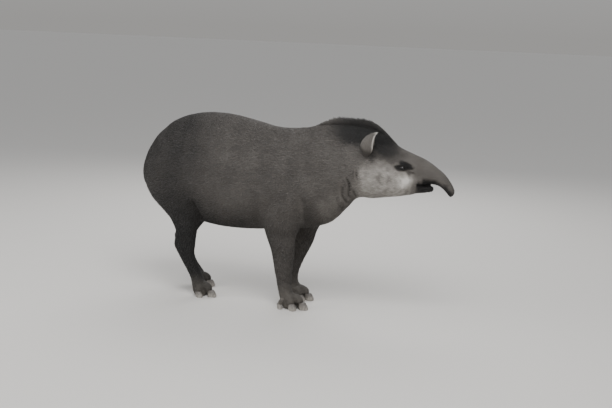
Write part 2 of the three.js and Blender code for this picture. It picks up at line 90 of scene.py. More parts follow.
def step(value, low, high):
    """0 below low, 1 above high, with a smooth S between: 3t^2 - 2t^3."""
    t = np.clip((np.asarray(value, float) - low) / (high - low), 0, 1)
    return t * t * (3 - 2 * t)


def power(value, roundness):
    """A sine or cosine pushed towards a box (roundness above 2) or a ridge (below 2)."""
    return np.sign(value) * np.abs(value) ** (2 / roundness)


def hill(distance, width):
    """A smooth bump: 1 at distance 0, falling off as a bell over width."""
    return np.exp(-(np.asarray(distance) / width) ** 2)


def waves(p, size, seed):
    """Smooth unevenness, mostly within -1 to 1: the sum of twelve waves of one size in random directions."""
    random = np.random.default_rng(seed)
    way = random.standard_normal((12, 3)) * 2 * math.pi / (1.7 * size)
    return np.sin(p @ way.T + 2 * math.pi * random.random(12)).sum(1) / 3.4


# %% Closing a grid of rings into a surface
def ring_quads(rings, around, looped=False):
    """Four-cornered faces between neighbouring rings; looped adds those from the last ring to the first."""
    i, j = np.meshgrid(np.arange(rings if looped else rings - 1), np.arange(around), indexing="ij")
    n, k = (i + 1) % rings, (j + 1) % around
    return np.stack([i * around + j, n * around + j, n * around + k, i * around + k], -1).reshape(-1, 4)


def closed(grid):
    """Vertices and faces of a tube of rings (rings, around, 3), each end closed by a middle point."""
    rings, around = grid.shape[:2]
    ends = np.stack([grid[0].mean(0), grid[-1].mean(0)])
    verts = np.concatenate([grid.reshape(-1, 3), ends])
    j = np.arange(around)
    k = (j + 1) % around
    last = (rings - 1) * around
    first_fan = np.stack([np.full(around, rings * around), j, k], -1)
    last_fan = np.stack([np.full(around, rings * around + 1), last + k, last + j], -1)
    return verts, ring_quads(rings, around), np.concatenate([first_fan, last_fan])


def joined(surfaces):
    """Several (vertices, quads, triangles) as one."""
    offsets = np.cumsum([0] + [len(s[0]) for s in surfaces[:-1]])
    verts = np.concatenate([s[0] for s in surfaces])
    quads = np.concatenate([s[1] + o for s, o in zip(surfaces, offsets)])
    tris = np.concatenate([s[2] + o for s, o in zip(surfaces, offsets)])
    return verts, quads, tris


def new_object(name, verts, quads=(), tris=(), smooth=True):
    """A mesh object whose place is in its mesh."""
    mesh = bpy.data.meshes.new(name)
    quads = np.asarray(quads, np.int32).reshape(-1, 4)
    tris = np.asarray(tris, np.int32).reshape(-1, 3)
    loops = np.concatenate([quads.ravel(), tris.ravel()])
    sizes = np.concatenate([np.full(len(quads), 4), np.full(len(tris), 3)])
    mesh.vertices.add(len(verts))
    mesh.vertices.foreach_set("co", np.asarray(verts, np.float32).ravel())
    mesh.loops.add(len(loops))
    mesh.loops.foreach_set("vertex_index", loops.astype(np.int32))
    mesh.polygons.add(len(sizes))
    mesh.polygons.foreach_set("loop_start", np.concatenate([[0], np.cumsum(sizes)[:-1]]).astype(np.int32))
    mesh.polygons.foreach_set("use_smooth", np.full(len(sizes), smooth))
    mesh.update(calc_edges=True)
    made = bpy.data.objects.new(name, mesh)
    bpy.context.scene.collection.objects.link(made)
    return made


def triangle_count(made):
    """How many triangles a piece has."""
    return sum(len(p.vertices) - 2 for p in made.data.polygons)


# %% [markdown]
# The trunk runs from the rump to the tip of the nose as one loft. Each ring is a superellipse whose upper and
# lower halves have their own roundness: high on the neck it is narrow, which gives the crest, and under the
# belly it is full. The stations are those of the solids, except that the front of the lower lip stands 4 to
# 7 mm higher, as it does in the photo.

# %% Trunk, neck and head
# top x, top z, low x, low z, half width, widest, upper roundness, lower roundness
TRUNK = [
    (-0.955, 0.650, -0.955, 0.650, 0.000, 0.00, 2.00, 2.0),
    (-0.932, 0.762, -0.893, 0.560, 0.126, -0.05, 2.00, 2.0),
    (-0.866, 0.893, -0.825, 0.505, 0.184, -0.15, 1.90, 2.1),
    (-0.752, 0.986, -0.715, 0.455, 0.214, -0.15, 1.85, 2.2),
    (-0.600, 1.030, -0.575, 0.414, 0.225, -0.10, 1.90, 2.2),
    (-0.440, 1.034, -0.430, 0.397, 0.232, -0.15, 1.90, 2.2),
    (-0.280, 1.008, -0.275, 0.401, 0.234, -0.18, 1.90, 2.2),
    (-0.110, 0.980, -0.110, 0.418, 0.221, -0.15, 1.85, 2.1),
    (0.030, 0.992, 0.050, 0.437, 0.194, -0.15, 1.75, 2.1),
    (0.140, 1.018, 0.178, 0.478, 0.160, -0.20, 1.60, 2.0),
    (0.230, 1.031, 0.262, 0.556, 0.130, -0.20, 1.50, 2.0),
    (0.310, 1.030, 0.330, 0.628, 0.113, -0.25, 1.50, 2.1),
    (0.392, 1.021, 0.420, 0.634, 0.107, -0.30, 1.50, 2.3),
    (0.470, 0.978, 0.505, 0.646, 0.103, -0.30, 1.60, 2.4),
    (0.550, 0.918, 0.585, 0.660, 0.092, -0.15, 1.90, 2.4),
    (0.622, 0.888, 0.638, 0.682, 0.069, -0.10, 2.00, 2.2),
    (0.668, 0.868, 0.690, 0.729, 0.055, -0.10, 2.00, 2.2),
    (0.726, 0.837, 0.738, 0.727, 0.046, 0.00, 2.10, 2.2),
    (0.782, 0.794, 0.768, 0.715, 0.038, 0.00, 2.20, 2.2),
    (0.824, 0.746, 0.796, 0.690, 0.033, 0.00, 2.20, 2.2),
    (0.846, 0.701, 0.819, 0.667, 0.027, 0.00, 2.20, 2.2),
    (0.841, 0.676, 0.841, 0.676, 0.000, 0.00, 2.00, 2.0),
]
JAW = [
    (0.560, 0.700, 0.560, 0.700, 0.000, 0.00, 2.00, 2.0),
    (0.600, 0.728, 0.597, 0.664, 0.056, 0.00, 2.20, 2.2),
    (0.645, 0.727, 0.645, 0.676, 0.046, 0.00, 2.30, 2.2),
    (0.692, 0.726, 0.694, 0.683, 0.037, 0.10, 2.30, 2.1),
    (0.722, 0.724, 0.725, 0.690, 0.028, 0.10, 2.20, 2.0),
    (0.738, 0.708, 0.738, 0.708, 0.000, 0.00, 2.00, 2.0),
]


def spine_loft(stations, rings, around):
    """Rings from a point above to one below: height goes with the angle's cosine, width with its sine."""
    top_x, top_z, low_x, low_z, half, widest, upper, lower = through(stations, rings).T[:, :, None]
    angle = np.arange(around) * 2 * math.pi / around
    c, s = np.cos(angle)[None], np.sin(angle)[None]
    roundness = np.where(c > 0, upper, lower)
    reach = np.where(c > 0, 1 - widest, 1 + widest)
    rise = (1 + widest + reach * power(c, roundness)) / 2
    side = np.maximum(half, 0) * power(s, roundness)
    return np.stack([low_x + (top_x - low_x) * rise, side, low_z + (top_z - low_z) * rise], -1)


trunk = closed(spine_loft(TRUNK, 160, 72))
jaw = closed(spine_loft(JAW, 40, 40))
print("trunk:", len(trunk[0]), "points, jaw:", len(jaw[0]), "points")

# %% [markdown]
# A leg starts deep inside the body, so that the join is a swelling of muscle and not an edge. Its rings lie
# flat and are given by height, place, half length, half width and how far out from the middle they stand.
# The left legs lean by a distance that changes with height, because the animal has just stopped. The feet
# are 5 to 7 mm slimmer than those of the solids, and they and their hooves stand up to 6 mm further back.

# %% Legs
# height, place along, half length, half width, distance out
FORELEG = [
    (0.905, -0.025, 0.000, 0.000, 0.085), (0.850, -0.028, 0.082, 0.036, 0.104),
    (0.735, -0.028, 0.122, 0.066, 0.128), (0.600, -0.038, 0.136, 0.080, 0.132),
    (0.475, -0.052, 0.112, 0.076, 0.124), (0.400, -0.059, 0.086, 0.060, 0.115),
    (0.315, -0.048, 0.067, 0.049, 0.109), (0.230, -0.044, 0.055, 0.044, 0.104),
    (0.155, -0.039, 0.045, 0.037, 0.101), (0.105, -0.032, 0.041, 0.040, 0.100),
    (0.062, -0.016, 0.045, 0.044, 0.099), (0.022, -0.006, 0.043, 0.043, 0.099),
    (0.002, -0.002, 0.036, 0.036, 0.099),
]
HINDLEG = [
    (0.880, -0.705, 0.000, 0.000, 0.120), (0.835, -0.715, 0.085, 0.046, 0.134),
    (0.750, -0.728, 0.134, 0.074, 0.136), (0.650, -0.732, 0.152, 0.084, 0.135),
    (0.560, -0.701, 0.148, 0.086, 0.133), (0.485, -0.662, 0.112, 0.077, 0.128),
    (0.425, -0.642, 0.084, 0.062, 0.121), (0.358, -0.637, 0.063, 0.047, 0.115),
    (0.285, -0.648, 0.065, 0.039, 0.110), (0.235, -0.638, 0.052, 0.036, 0.108),
    (0.165, -0.604, 0.044, 0.033, 0.105), (0.100, -0.568, 0.040, 0.038, 0.104),
    (0.060, -0.554, 0.043, 0.041, 0.104), (0.022, -0.548, 0.041, 0.040, 0.104),
    (0.002, -0.545, 0.034, 0.033, 0.104),
]
FORE_LEAN = [(0.110, -0.042), (0.420, 0.038)]
HIND_LEAN = [(0.050, -0.112), (0.160, -0.134), (0.280, -0.118), (0.440, -0.050), (0.560, -0.022)]


def lean_at(lean, height):
    """How far forward of the right leg the left one stands at a height, easing from level to level."""
    distance = lean[0][1]
    for (low, a), (high, b) in zip(lean, lean[1:]):
        distance = distance + (b - a) * step(height, low, high)
    return distance


def leg_loft(stations, side, lean, rings=90, around=40):
    """Flat rings stacked from the top down: place and half sizes follow the stations."""
    height, along, length, width, out = through(stations, rings).T[:, :, None]
    height = np.maximum(height, 0.002)
    if side > 0:
        along = along + lean_at(lean, height)
    angle = np.arange(around)[None] * 2 * math.pi / around
    x = along + np.maximum(length, 0) * power(np.cos(angle), 2.2)
    y = side * out + np.maximum(width, 0) * power(np.sin(angle), 2.2)
    return np.stack([x, y, height + 0 * angle], -1)


LEGS = {
    "foreleg_right": (FORELEG, -1, FORE_LEAN), "foreleg_left": (FORELEG, 1, FORE_LEAN),
    "hindleg_right": (HINDLEG, -1, HIND_LEAN), "hindleg_left": (HINDLEG, 1, HIND_LEAN),
}
leg_surfaces = [closed(leg_loft(*leg)) for leg in LEGS.values()]
print("legs:", len(leg_surfaces))

# %% [markdown]
# A tapir walks on four toes in front and three behind, each in its own small hoof. Each toe is a short limb
# from the foot into its hoof. A tube round a path needs two directions across the path at every point; here
# they come from the path's own direction and the level line across it. The tail starts further up inside
# the rump than in the solids, and its free part keeps within 7 mm of theirs.

# %% Toes and tail
# forward, outward, half length, half width, height, turn outwards in degrees
FORE_TOES = {
    "inner": (0.047, -0.038, 0.027, 0.019, 0.035, -16), "middle": (0.080, 0.000, 0.031, 0.022, 0.040, 3),
    "outer": (0.034, 0.043, 0.027, 0.020, 0.036, 20), "little": (-0.038, 0.047, 0.019, 0.013, 0.030, 30),
}
HIND_TOES = {
    "inner": (0.018, -0.039, 0.025, 0.017, 0.033, -14), "middle": (0.070, 0.000, 0.031, 0.021, 0.039, 2),
    "outer": (0.012, 0.042, 0.025, 0.017, 0.033, 16),
}


def tube(path, radii, around=24, rings=30):
    """Circles along a smooth path, each square to it, whose radius follows the list."""
    line = through(path, rings)
    radius = through([[r] for r in radii], rings)
    forward = np.gradient(line, axis=0)
    forward /= np.linalg.norm(forward, axis=1, keepdims=True)
    first = np.cross([0.0, 1.0, 0.0], forward)
    first /= np.linalg.norm(first, axis=1, keepdims=True)
    second = np.cross(forward, first)
    angle = np.arange(around)[None, :, None] * 2 * math.pi / around
    spoke = first[:, None] * np.cos(angle) + second[:, None] * np.sin(angle)
    return line[:, None] + np.maximum(radius, 0)[:, None] * spoke


toes = {}
toe_surfaces = []
for name, (stations, side, lean) in LEGS.items():
    sway = lean_at(lean, 0) if side > 0 else 0
    sole, foot = np.array(stations[-1]), np.array(stations[-3])
    for toe_name, toe in (FORE_TOES if name.startswith("fore") else HIND_TOES).items():
        middle = np.array([sole[1] + sway + toe[0], side * (sole[4] + toe[1])])
        ankle = np.array([foot[1] + sway, side * foot[4]])
        toes[f"hoof_{name}_{toe_name}"] = (toe, middle, side)
        path = [
            (*(ankle + (middle - ankle) * (0.15, 0.3)), foot[0]),
            (*(ankle + (middle - ankle) * (0.62, 0.75)), toe[4] + 0.016),
            (middle[0] - 0.009, middle[1], toe[4] - 0.012),
        ]
        radii = [0.0, toe[3] + 0.004, toe[3] + 0.005, toe[3] + 0.003, toe[3] * 0.55]
        toe_surfaces.append(closed(tube(path, radii, 24, 30)))
tail_path = [(-0.868, 0, 0.826), (-0.924, 0, 0.776), (-0.964, 0, 0.716), (-0.967, 0, 0.664)]
tail = closed(tube(tail_path, [0.0, 0.022, 0.025, 0.018, 0.011, 0.0], 24, 30))
print("toes:", len(toe_surfaces))

# %% [markdown]
# Lofts that only pass through each other show a crease where they meet. A voxel remesh turns them into one
# surface, and smoothing then melts the shoulder and the thigh into the body. Smoothing is done here with sums
# over the edges: each vertex moves towards the mean of its neighbours, and its strength is high only where a
# leg, the jaw or the tail joins, because it also shrinks narrow forms such as the crest.

# %% One skin
VOXEL = 0.0034
WEIGHT_LEVELS = 20


def mesh_arrays(mesh):
    """The vertices of a mesh, and its faces as rows of corners; a triangle's fourth corner is -1."""
    verts = np.empty(len(mesh.vertices) * 3, np.float32)
    mesh.vertices.foreach_get("co", verts)
    corners = np.empty(len(mesh.loops), np.int32)
    mesh.loops.foreach_get("vertex_index", corners)
    start = np.empty(len(mesh.polygons), np.int32)
    mesh.polygons.foreach_get("loop_start", start)
    size = np.diff(np.append(start, len(corners)))
    faces = np.full((len(start), 4), -1)
    for k in range(4):
        has = size > k
        faces[has, k] = corners[start[has] + k]
    return verts.reshape(-1, 3).astype(float), faces


def through_modifier(surface, kind, settings, weights=None):
    """A surface (vertices, quads, triangles) after one modifier with the given settings, applied."""
    source = new_object("modifier_source", *surface)
    modifier = source.modifiers.new(kind, kind)
    if weights is not None:
        group = source.vertex_groups.new(name="weights")
        levels = np.round(weights * WEIGHT_LEVELS).astype(int)
        for level in range(1, WEIGHT_LEVELS + 1):
            group.add(np.flatnonzero(levels == level).tolist(), level / WEIGHT_LEVELS, "REPLACE")
        modifier.vertex_group = "weights"
    for name, value in settings.items():
        setattr(modifier, name, value)
    result = bpy.data.meshes.new_from_object(source.evaluated_get(bpy.context.evaluated_depsgraph_get()))
    verts, faces = mesh_arrays(result)
    bpy.data.objects.remove(source)
    bpy.data.meshes.remove(result)
    return verts, faces


def edges_of(faces):
    """Every edge once, from the sides of all faces."""
    count = faces.shape[1]
    sides = np.concatenate([np.stack([faces[:, k], faces[:, (k + 1) % count]], -1) for k in range(count)])
    low, high = sides.min(1).astype(np.int64), sides.max(1).astype(np.int64)
    key = np.unique(low << 32 | high)
    return np.stack([key >> 32, key & 0xFFFFFFFF], -1)


def smoothed(verts, edges, weight, rounds):
    """Each vertex steps towards the mean of its neighbours by weight, many times."""
    count = np.bincount(edges.ravel(), minlength=len(verts))[:, None]
    for _ in range(rounds):
        total = np.stack([
            np.bincount(edges[:, 0], verts[edges[:, 1], k], len(verts))
            + np.bincount(edges[:, 1], verts[edges[:, 0], k], len(verts)) for k in range(3)
        ], -1)
        verts = verts + weight[:, None] * (total / count - verts)
    return verts


def normals_of(verts, tris):
    """Vertex normals: the sum of the cross products of the faces round each vertex."""
    cross = np.cross(verts[tris[:, 1]] - verts[tris[:, 0]], verts[tris[:, 2]] - verts[tris[:, 0]])
    total = np.stack([
        sum(np.bincount(tris[:, k], cross[:, axis], len(verts)) for k in range(3)) for axis in range(3)
    ], -1)
    return total / np.maximum(np.linalg.norm(total, axis=1, keepdims=True), 1e-12)


rough = joined([trunk, jaw, tail] + leg_surfaces + toe_surfaces)
skin_verts, skin_faces = through_modifier(rough, "REMESH", {"mode": "VOXEL", "voxel_size": VOXEL})
print("skin after the remesh:", len(skin_verts), "vertices")

# %% Melting the joins
x, y, z = skin_verts.T
at_shoulder = hill(x + 0.03, 0.20) * step(z, 0.33, 0.44) * (1 - step(z, 0.86, 0.96))
at_thigh = hill(x + 0.69, 0.22) * step(z, 0.33, 0.44) * (1 - step(z, 0.86, 0.96))
weight = 0.10 + 0.45 * np.maximum(at_shoulder, at_thigh) + 0.20 * hill(x - 0.60, 0.05) * (z < 0.76)
weight = weight * (0.15 + 0.85 * step(z, 0.05, 0.16)) + 0.35 * hill(np.hypot(x + 0.925, z - 0.790), 0.040)
rounds = int(16 * (0.0072 / VOXEL) ** 2)
skin_verts = smoothed(skin_verts, edges_of(skin_faces), weight, rounds)
triangles = np.concatenate([skin_faces[:, [0, 1, 2]], skin_faces[:, [0, 2, 3]]])
print("smoothing rounds:", rounds, "triangles:", len(triangles))


# %% [markdown]
# The large forms are there; now the skin gets what a sculptor would add with small tools. Each form is a
# displacement along the normal, written as a bell or a wave of the distance from a line: the hollow of the
# eye with its brow, the cheek muscle, the lips and the line of the mouth, rings on the short trunk, folds
# behind the jaw and at the elbow, and the edge of the shoulder and the thigh.

# %% Face and body forms
EYE = np.array([0.569, 0.075, 0.816])
EYE_RADIUS = 0.0155
MOUTH_LINE = np.array([(0.644, 0.7290), (0.665, 0.7285), (0.690, 0.7260), (0.712, 0.7225), (0.735, 0.7200)])
NOSTRIL_AXIS = np.array([(0.824, 0.696), (0.853, 0.661)])


def line_distance(x, z, line):
    """Distance in the side view from points to a line of straight pieces, and how far along it, 0 to 1."""
    best = np.full(x.shape, 9.0)
    along = np.zeros(x.shape)
    pieces = len(line) - 1
    for k, (a, b) in enumerate(zip(line[:-1], line[1:])):
        a, b = np.asarray(a, float), np.asarray(b, float)
        t = np.clip(((x - a[0]) * (b - a)[0] + (z - a[1]) * (b - a)[1]) / ((b - a) ** 2).sum(), 0, 1)
        d = np.hypot(x - a[0] - t * (b - a)[0], z - a[1] - t * (b - a)[1])
        along = np.where(d < best, (k + t) / pieces, along)
        best = np.minimum(best, d)
    return best, along


def hollows(x, z, lines):
    """For each line of a table: the points' distance from it and place along it, and its depth and width."""
    for x0, z0, x1, z1, deep, wide in lines:
        yield *line_distance(x, z, [(x0, z0), (x1, z1)]), deep, wide


def spot(x, z, middle, stretch, width):
    """An oval bump in the side view: a bell of the distance from a middle, scaled along and up."""
    return hill(np.hypot((x - middle[0]) * stretch[0], (z - middle[1]) * stretch[1]), width)


def wavy(x, z):
    """Places along, shifted by a sine of the height, so that a straight crease wanders a little."""
    return x + 0.004 * np.sin(z * 60)


# upper x, upper z, lower x, lower z, depth, width
NECK_CREASES = [
    (0.296, 0.760, 0.304, 0.632, 0.0066, 0.0070), (0.334, 0.800, 0.344, 0.735, 0.0042, 0.0060),
    (0.268, 0.715, 0.280, 0.600, 0.0040, 0.0095), (0.316, 0.690, 0.336, 0.634, 0.0036, 0.0065),
]
BODY_HOLLOWS = [
    (0.085, 0.640, 0.070, 0.470, 0.0070, 0.020), (-0.160, 0.570, -0.185, 0.455, 0.0090, 0.018),
    (0.035, 0.900, 0.100, 0.720, 0.0045, 0.038), (-0.560, 0.570, -0.530, 0.430, 0.0130, 0.022),
    (-0.590, 0.880, -0.560, 0.640, 0.0070, 0.055), (-0.120, 0.900, -0.175, 0.640, 0.0055, 0.045),
]
TEAR_GROOVE = [(0.588, 0.806), (0.606, 0.797), (0.628, 0.790)]
NOSE_RIDGE = [(0.690, 0.800), (0.745, 0.775), (0.795, 0.735), (0.832, 0.684)]
# height, middle, stretch and width of each bump; the first table's middles are measured from the eye
ROUND_THE_EYE = [
    (0.0060, (0, 0), (0.75, 1.0), 0.030), (0.0075, (0, 0.027), (0.8, 1.6), 0.022),
    (-0.0050, (0.032, -0.008), (0.8, 1.6), 0.018), (-0.0035, (-0.034, -0.002), (0.8, 1.6), 0.016),
]
CHEEK_FORMS = [(0.0070, (0.472, 0.735), (0.8, 1.0), 0.058), (-0.0055, (0.552, 0.768), (1.0, 1.2), 0.030)]
MUSCLES = [(0.0060, (-0.010, 0.640), (0.7, 1.0), 0.075), (0.0060, (-0.660, 0.640), (1.0, 0.7), 0.080)]
NOSE_UNDERSIDE = [(0.675, 0.729), (0.738, 0.727), (0.768, 0.715), (0.796, 0.690), (0.822, 0.664)]


def forms(p):
    """How far each skin point moves out along its normal, in metres."""
    x, y, z = p.T
    side = np.abs(y)
    out = 0.0009 * waves(p, 0.10, 4) * step(z, 0.3, 0.5)
    eye_x, eye_z = x - EYE[0], z - EYE[2]
    near_eye = step(side, 0.03, 0.05)
    for height, middle, stretch, width in ROUND_THE_EYE:
        out += near_eye * height * spot(eye_x, eye_z, middle, stretch, width)
    out -= near_eye * 0.0035 * hill(line_distance(x, z, TEAR_GROOVE)[0], 0.0065)
    for height, middle, stretch, width in CHEEK_FORMS:
        out += height * spot(x, z, middle, stretch, width) * near_eye
    out += 0.0050 * spot(x, z, (0.648, 0.752), (0.9, 1.9), 0.030) * step(side, 0.01, 0.03)
    near_mouth, _ = line_distance(x, z, MOUTH_LINE)
    open_side = step(side, 0.012, 0.026) * step(0.708 - x, 0.0, 0.020)
    out -= 0.0060 * hill(near_mouth, 0.0042) * open_side
    out += 0.0022 * hill(near_mouth - 0.0105, 0.0055) * open_side
    _, along = line_distance(x, z, NOSE_RIDGE)
    rings = np.sin(along * 2 * math.pi * 13 + 1.6 * waves(p, 0.035, 5)) * step(along, 0.10, 0.45)
    out += 0.00045 * rings * (1 + 0.5 * waves(p, 0.03, 6)) * (z > 0.64) * (x > 0.69)
    for near, t, deep, wide in hollows(wavy(x, z), z, NECK_CREASES):
        ends = step(t, 0.0, 0.25) * (1 - step(t, 0.75, 1.0)) * step(side, 0.035, 0.06)
        out -= deep * hill(near, wide) * ends
        out += deep * 0.45 * hill(near - wide * 2.1, wide) * ends
    for near, t, deep, wide in hollows(x, z, BODY_HOLLOWS):
        ends = step(t, 0.0, 0.2) * (1 - step(t, 0.8, 1.0))
        out -= deep * hill(near, wide) * ends * step(side, 0.07, 0.12)
    for height, middle, stretch, width in MUSCLES:
        out += height * spot(x, z, middle, stretch, width) * step(side, 0.10, 0.16)
    lower = 1 - step(z, 0.16, 0.34)
    out += 0.0008 * waves(p * (0.7, 0.7, 1.5), 0.032, 7) * lower * step(z, 0.05, 0.09)
    return out


COAT_DEPTH = 0.0034
normals = normals_of(skin_verts, triangles)
skin_verts = skin_verts + normals * (forms(skin_verts) - COAT_DEPTH)[:, None]
for side in (-1, 1):
    from_eye = np.hypot(skin_verts[:, 0] - EYE[0], (skin_verts[:, 2] - EYE[2]) * 1.25)
    socket = hill(from_eye, 0.0165) * (np.sign(skin_verts[:, 1]) == side)
    skin_verts[:, 1] -= side * 0.013 * socket
    start = np.array([NOSTRIL_AXIS[0][0], side * 0.0115, NOSTRIL_AXIS[0][1]])
    axis = np.array([NOSTRIL_AXIS[1][0] - NOSTRIL_AXIS[0][0], 0, NOSTRIL_AXIS[1][1] - NOSTRIL_AXIS[0][1]])
    axis /= np.linalg.norm(axis)
    rel = skin_verts - start
    ahead = rel @ axis
    off = np.linalg.norm(rel - ahead[:, None] * axis, axis=1)
    skin_verts -= axis * (0.020 * hill(off, 0.0062) * step(ahead, 0.008, 0.020))[:, None]


# %% Fewer faces where the skin is plain
SKIN_TRIANGLES = 194000
fine = np.maximum(step(skin_verts[:, 0], 0.24, 0.50), 1 - step(skin_verts[:, 2], 0.08, 0.16))
share = SKIN_TRIANGLES / len(triangles)
skin_verts, skin_faces = through_modifier(
    (skin_verts, np.empty((0, 4), int), triangles), "DECIMATE",
    {"ratio": min(share, 1.0), "vertex_group_factor": 3.0}, 0.05 + 0.95 * (1 - fine))
triangles = skin_faces[:, :3]
normals = normals_of(skin_verts, triangles)
print("skin:", len(skin_verts), "vertices,", len(triangles), "triangles")
print("lowest skin point:", round(float(skin_verts[:, 2].min()), 4))

# %% [markdown]
# Skin and coat must carry the same colour pattern and painted shade, so one function gives the tone of any
# point:
# 0 is black, about 0.40 the dark grey-brown of the flanks, and 1 nearly white. The cheeks and the throat are
# pale. The crest, the hair round the eye, the rump and the legs are dark. Painted shade darkens the eye
# socket under the brow, the tear groove, the underside of the nose and the lower lip, the mouth line, the
# nostrils and the neck creases.

# %% Markings and painted shade
# amount, middle, stretch, width
CHEEK_SPOTS = [
    (0.38, (0.600, 0.750), (1.1, 1.2), 0.034), (-0.15, (0.456, 0.760), (1.4, 1.0), 0.030),
    (-0.15, (0.508, 0.742), (1.0, 1.0), 0.014),
]
# How dark the painted shade in a neck crease is, for each metre of its depth.
CREASE_SHADE = 48


def markings_and_shade(p, up):
    """The tone of each point: flank grey, darkened or paled by patches with wandering edges, plus painted
    shade.
    """
    side = np.abs(p[:, 1])
    x = p[:, 0] + 0.008 * waves(p, 0.05, 1)
    z = p[:, 2] + 0.008 * waves(p, 0.05, 2)
    tone = 0.40 + 0.022 * waves(p, 0.16, 3)
    tone -= 0.165 * step(-x, 0.33, 0.66)
    at_foreleg = hill(x + 0.04, 0.13)
    tone -= 0.16 * (1 - step(z, 0.40, 0.62)) * (x < 0.2) * (1 - 0.8 * at_foreleg)
    tone += 0.05 * step(x, 0.10, 0.22) * step(z, 0.55, 0.7)
    tone -= (0.14 - 0.10 * at_foreleg) * (1 - step(z, 0.28, 0.46)) * (x < 0.2)
    jaw_line = 0.700 + 0.22 * np.clip(x - 0.36, -0.1, 0.30)
    cheek_top = jaw_line + 0.112 - 0.5 * np.clip(x - 0.46, 0, 0.12)
    cheek = step(x, 0.312, 0.385) * (1 - step(z, cheek_top - 0.045, cheek_top + 0.040))
    cheek = cheek * (1 - step(x, 0.580, 0.650))
    tone += cheek * (0.31 + 0.050 * waves(p, 0.032, 8) + 0.030 * waves(p, 0.014, 9))
    for amount, middle, stretch, width in CHEEK_SPOTS:
        tone += amount * spot(x, z, middle, stretch, width)
    # Painted shadow: the lower lip and chin under the overhanging nose are darkened.
    lip = step(x, 0.630, 0.654) * (1 - step(z, 0.736, 0.748)) * (1 - step(x, 0.740, 0.755))
    tone -= (0.20 + 0.24 * step(x, 0.655, 0.700)) * lip
    rise = 0.6 * (x - 0.15)
    throat = (1 - step(z, 0.56 + rise, 0.64 + rise)) * step(x, 0.10, 0.20) * step(z, 0.42, 0.46)
    tone += 0.16 * throat * (1 - 0.6 * step(x, 0.235, 0.270)) * (x < 0.34)
    # The dark round the eye is partly the hair's own colour and partly painted shade in the socket under the
    # brow.
    wander = 0.12 * waves(p, 0.02, 10)
    lid_patch = np.hypot((p[:, 0] - 0.565) / 0.036, (p[:, 2] - 0.817) / 0.0175) + wander
    brow_z = p[:, 2] - 0.832 + 0.35 * (p[:, 0] - 0.590)
    brow_patch = np.hypot((p[:, 0] - 0.590) / 0.038, brow_z / 0.0170) + wander
    dark = np.maximum(1 - step(lid_patch, 0.55, 1.25), 1 - step(brow_patch, 0.50, 1.25))
    tone -= 0.46 * dark * (side > 0.03)
    # Painted shade in the tear groove below the eye.
    tone -= 0.24 * hill(line_distance(x, z, TEAR_GROOVE)[0], 0.009) * (side > 0.03)
    falling = 0.35 * np.clip(x - 0.30, 0, 0.3)
    crown = step(z, 0.900 - falling, 0.985 - falling)
    tone -= 0.22 * crown * step(x, 0.14, 0.28) * (1 - step(x, 0.52, 0.60))
    tone -= 0.20 * step(z, 0.915, 0.955) * step(x, 0.24, 0.30) * (1 - step(x, 0.44, 0.52))
    tone -= 0.18 * spot(x, z, (0.455, 0.905), (1, 1), 0.050) * (side < 0.085)
    tone -= 0.20 * spot(x, z, (0.405, 0.862), (1, 1), 0.018) * (side > 0.05)
    # Painted shade: faces turned downwards on the nose, and the skin along its underside, are darkened.
    under = (1 - step(up[:, 2], -0.75, -0.2)) * step(x, 0.68, 0.74)
    near_under, _ = line_distance(x, z, NOSE_UNDERSIDE)
    tone -= 0.36 * np.maximum(under, 1 - step(near_under, 0.012, 0.040))
    # Painted shade in the neck creases, darkest along each crease's line.
    for near, t, deep, wide in hollows(wavy(p[:, 0], p[:, 2]), p[:, 2], NECK_CREASES):
        shadow = CREASE_SHADE * deep * hill(near, wide * 0.60)
        tone -= shadow * step(t, 0.0, 0.2) * (1 - step(t, 0.8, 1.0)) * (side > 0.035)
    # Painted shade along the mouth line.
    mouth, _ = line_distance(x, z, MOUTH_LINE)
    tone -= 0.40 * hill(mouth, 0.006) * (x > 0.642) * (x < 0.756)
    # Painted shade inside the nostrils.
    for s in (-1, 1):
        hole = np.linalg.norm(p - [0.839, s * 0.0115, 0.680], axis=1)
        tone -= 0.40 * hill(hole, 0.009)
    return np.clip(tone, 0.02, 1.0)


skin_tone = markings_and_shade(skin_verts, normals)
print("tones from", skin_tone.min().round(2), "to", skin_tone.max().round(2))

# %% [markdown]
# Materials. The hide is dull and short-haired. Up close its colour is never even: hairs catch the light in
# streaks, and dust lies on the feet. A node group turns the tone into a colour and mixes in this unevenness,
# so that skin and coat agree. The group puts out only a colour and a height; each material keeps its own
# shader, with its gloss set on the shader.

# %% Adding shader nodes
def node(tree, kind, inputs=(), **settings):
    """A new shader node: settings are its own fields, and an input is a value or another node's socket."""
    made = tree.nodes.new("ShaderNode" + kind)
    for name, value in settings.items():
        setattr(made, name, value)
    for name, value in dict(inputs).items():
        if isinstance(value, bpy.types.NodeSocket):
            tree.links.new(value, made.inputs[name])
        else:
            made.inputs[name].default_value = value
    return made


def colour_ramp(tree, factor, stops):
    """The colour at a factor, blended between (place, colour) pairs in rising order."""
    ramp = node(tree, "ValToRGB", {"Fac": factor})
    marks = ramp.color_ramp.elements
    for mark, (place, colour) in zip(marks, (stops[0], stops[-1])):
        mark.position, mark.color = place, (*colour, 1)
    for place, colour in stops[1:-1]:
        marks.new(place).color = (*colour, 1)
    return ramp.outputs["Color"]


def bump(tree, shader, height, strength, distance):
    """Tilts a shader's normal by a height, as fine relief does."""
    relief = node(tree, "Bump", {"Height": height, "Strength": strength, "Distance": distance})
    tree.links.new(relief.outputs["Normal"], shader.inputs["Normal"])


